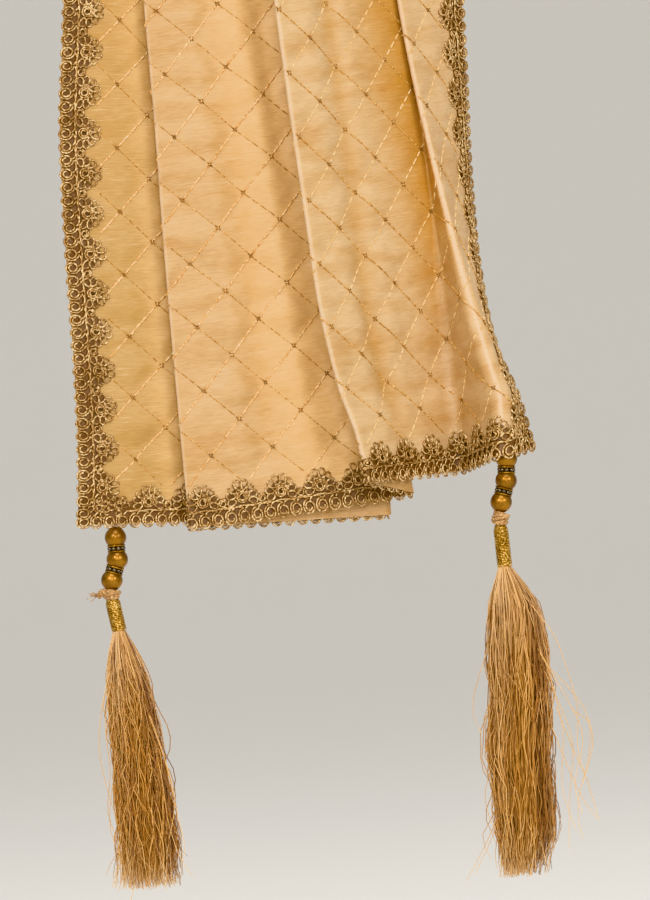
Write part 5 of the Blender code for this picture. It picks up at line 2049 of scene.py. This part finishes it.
@dataclass(frozen=True)
class Studio:
    """A plain pale sweep, soft light and the close camera on the front end."""

    floor: float = -1.6             # metres
    sweep_start: float = 6.0
    sweep_radius: float = 8.0
    camera_place: tuple[float, float, float] = (0.0135, -1.9, -1.1085)
    camera_roll: float = 4.0        # degrees
    lens: float = 152.4             # mm
    film: float = 36.0
    paper: str = "#f4f2ee"
    room: float = 0.74              # strength of the light from all sides
    sides: int = 64                 # of the sweep
    lights: tuple[SoftLight, ...] = (
        SoftLight("front_wide", (0.15, -3.5, -0.3), (0.0, -0.08, -1.1), 1.3, 32.0, "#fff8f0"),
        SoftLight("key_left", (-1.5, -2.0, -0.4), (0.0, -0.08, -1.1), 0.8, 5.0, "#fff6ea"),
        SoftLight("fill_right", (1.5, -2.1, -0.3), (0.0, -0.08, -1.1), 0.9, 24.0, "#fff6ea"),
        SoftLight("top_back", (0.2, 1.6, 1.2), (0.0, 0.0, -0.6), 1.6, 20.0, "#ffffff"),
        SoftLight("top_front", (0.1, -1.6, 1.5), (0.0, 0.0, -0.2), 1.6, 38.0, "#ffffff"),
        SoftLight("glint_left", (-0.9, -2.2, 0.0), (0.0, -0.08, -1.1), 0.5, 22.0, "#fff6ea",
                  True),
    )

    def build_sweep(self) -> None:
        """Makes the pale floor, which curves up far away on every side."""
        profile = [(self.sweep_start + self.sweep_radius * math.sin(a),
                    self.sweep_radius * (1 - math.cos(a))) for a in np.linspace(0, math.pi / 2, 10)]
        rings = [polar(radius, round_angles(self.sides), height + self.floor)
                 for radius, height in profile]
        points = np.concatenate(([(0.0, 0.0, self.floor)], *rings))
        here = np.arange(self.sides)
        after = (here + 1) % self.sides
        faces = [(0, 1 + a, 1 + b) for a, b in zip(here, after)]
        for base in 1 + self.sides * np.arange(len(profile) - 1):
            faces += [(base + a, base + self.sides + a, base + self.sides + b, base + b)
                      for a, b in zip(here, after)]
        mesh = bpy.data.meshes.new("pale_sweep")
        mesh.from_pydata(points, [], faces)
        mesh.shade_smooth()
        made = new_material("matte_studio_paper")[0]
        finish_with(made, Base_Color=linear(self.paper), Roughness=0.9)
        mesh.materials.append(made)
        sweep = bpy.data.objects.new("pale_sweep", mesh)
        bpy.context.scene.collection.objects.link(sweep)

    def build_camera(self) -> None:
        """Makes the camera, level and looking along +Y with a slight roll."""
        camera = bpy.data.cameras.new("camera")
        camera.sensor_fit, camera.sensor_height = "VERTICAL", self.film
        camera.lens = self.lens
        camera.clip_end = 100.0
        made = bpy.data.objects.new("camera", camera)
        made.matrix_world = (Matrix.Translation(self.camera_place)
                             @ Matrix.Rotation(math.pi / 2, 4, "X")
                             @ Matrix.Rotation(math.radians(-self.camera_roll), 4, "Z"))
        bpy.context.scene.collection.objects.link(made)
        bpy.context.scene.camera = made

    def build(self) -> None:
        """Makes the sweep, the camera, the lamps and the even light of the room."""
        self.build_sweep()
        self.build_camera()
        for light in self.lights:
            light.build()
        world = bpy.data.worlds.new("soft_room")
        world.use_nodes = True
        room = world.node_tree.nodes["Background"].inputs
        room["Color"].default_value, room["Strength"].default_value = linear(self.paper), self.room
        bpy.context.scene.world = world
        bpy.context.scene.view_settings.view_transform = "Khronos PBR Neutral"


# ================================================================ the whole stole
SILK_CREASES = (
    Crease(24.0, 26.0, 8.0, 0.5),
    Crease(40.0, 42.0, 7.0, -0.8, painted_trough_shade=0.25),
    Crease(281.0, 277.0, 8.0, 1.6),
    Crease(299.0, 291.0, 7.0, -2.2, start=20.0, painted_trough_shade=0.5),
    Crease(313.0, 303.0, 6.5, 1.7, start=30.0),
    Crease(327.0, 313.0, 6.0, -2.0, start=15.0, painted_trough_shade=0.35),
    Crease(416.0, 418.0, 7.0, 1.3),
    Crease(430.0, 431.0, 5.5, -2.1, start=25.0, painted_trough_shade=0.55),
    Crease(441.0, 440.0, 5.0, 1.3, start=40.0),
    Crease(515.0, 508.0, 5.0, 0.4, start=20.0),
)
SILK_PUCKERS = (
    Pucker(26.0, 31.0, 7.0, 3.0, 35.0, 1.6),
    Pucker(31.0, 40.0, 8.0, 2.6, 30.0, -1.2),
    Pucker(36.0, 50.0, 8.0, 3.0, 25.0, 1.3),
    Pucker(42.0, 33.0, 6.0, 2.6, 60.0, 1.1),
    Pucker(24.0, 108.0, 7.0, 2.6, 20.0, 1.1),
    Pucker(38.0, 96.0, 14.0, 4.0, 4.0, -1.3),
    Pucker(280.0, 118.0, 22.0, 5.0, -6.0, -1.3),
    Pucker(300.0, 92.0, 20.0, 5.0, 5.0, 1.3),
    Pucker(318.0, 84.0, 18.0, 4.0, 3.0, -1.4),
    Pucker(290.0, 60.0, 24.0, 5.0, -4.0, 1.1),
)


# Small puckers strewn over A, the lower and the upper part of B, and C: how many, between
# which u, v and slants in degrees, and the greatest height.
STREWN = (
    (34, (18.0, 80.0), (18.0, 200.0), (-5.0, 45.0), 1.6),
    (44, (258.0, 395.0), (16.0, 125.0), (-12.0, 14.0), 1.35),
    (20, (258.0, 395.0), (125.0, 340.0), (-10.0, 10.0), 0.65),
    (24, (405.0, 485.0), (16.0, 330.0), (-20.0, 20.0), 0.5),
)
STREWN_SEED = 21


def strewn_puckers(chance: np.random.Generator, count: int, u: tuple[float, float],
                   v: tuple[float, float], angle: tuple[float, float],
                   height: float) -> list[Pucker]:
    """Small dimples and swellings strewn over a part of the cloth.

    Args:
        chance: the random numbers to draw from.
        count: how many there are.
        u: between which across-places.
        v: between which along-places.
        angle: between which slants, in degrees.
        height: the greatest height or depth.

    Returns:
        The puckers.
    """
    return [Pucker(chance.uniform(*u), chance.uniform(*v), chance.uniform(7.0, 15.0),
                   chance.uniform(3.2, 5.5), chance.uniform(*angle),
                   height * chance.uniform(0.35, 1.0) * (-1) ** k) for k in range(count)]


def main() -> None:
    """Builds the dressed stole."""
    logging.basicConfig(level=logging.INFO, format="%(name)s %(message)s")
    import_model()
    Studio().build()
    chance = np.random.default_rng(STREWN_SEED)
    strewn = [pucker for part in STREWN for pucker in strewn_puckers(chance, *part)]
    surface = DrapedSurface(SILK_CREASES, (*SILK_PUCKERS, *strewn))
    LOG.info("surface: %d rows, %d columns", *surface.u.shape)
    scatter, threads = scatter_tree("scatter_small_shapes"), thread_tree("round_threads")
    SilkCloth(surface).build()
    Lace(surface, scatter).build()
    LatticeStitching(surface, scatter).build()
    for plan in TASSEL_PLANS:
        Tassel(plan, threads).build()


if __name__ == "__main__":
    main()
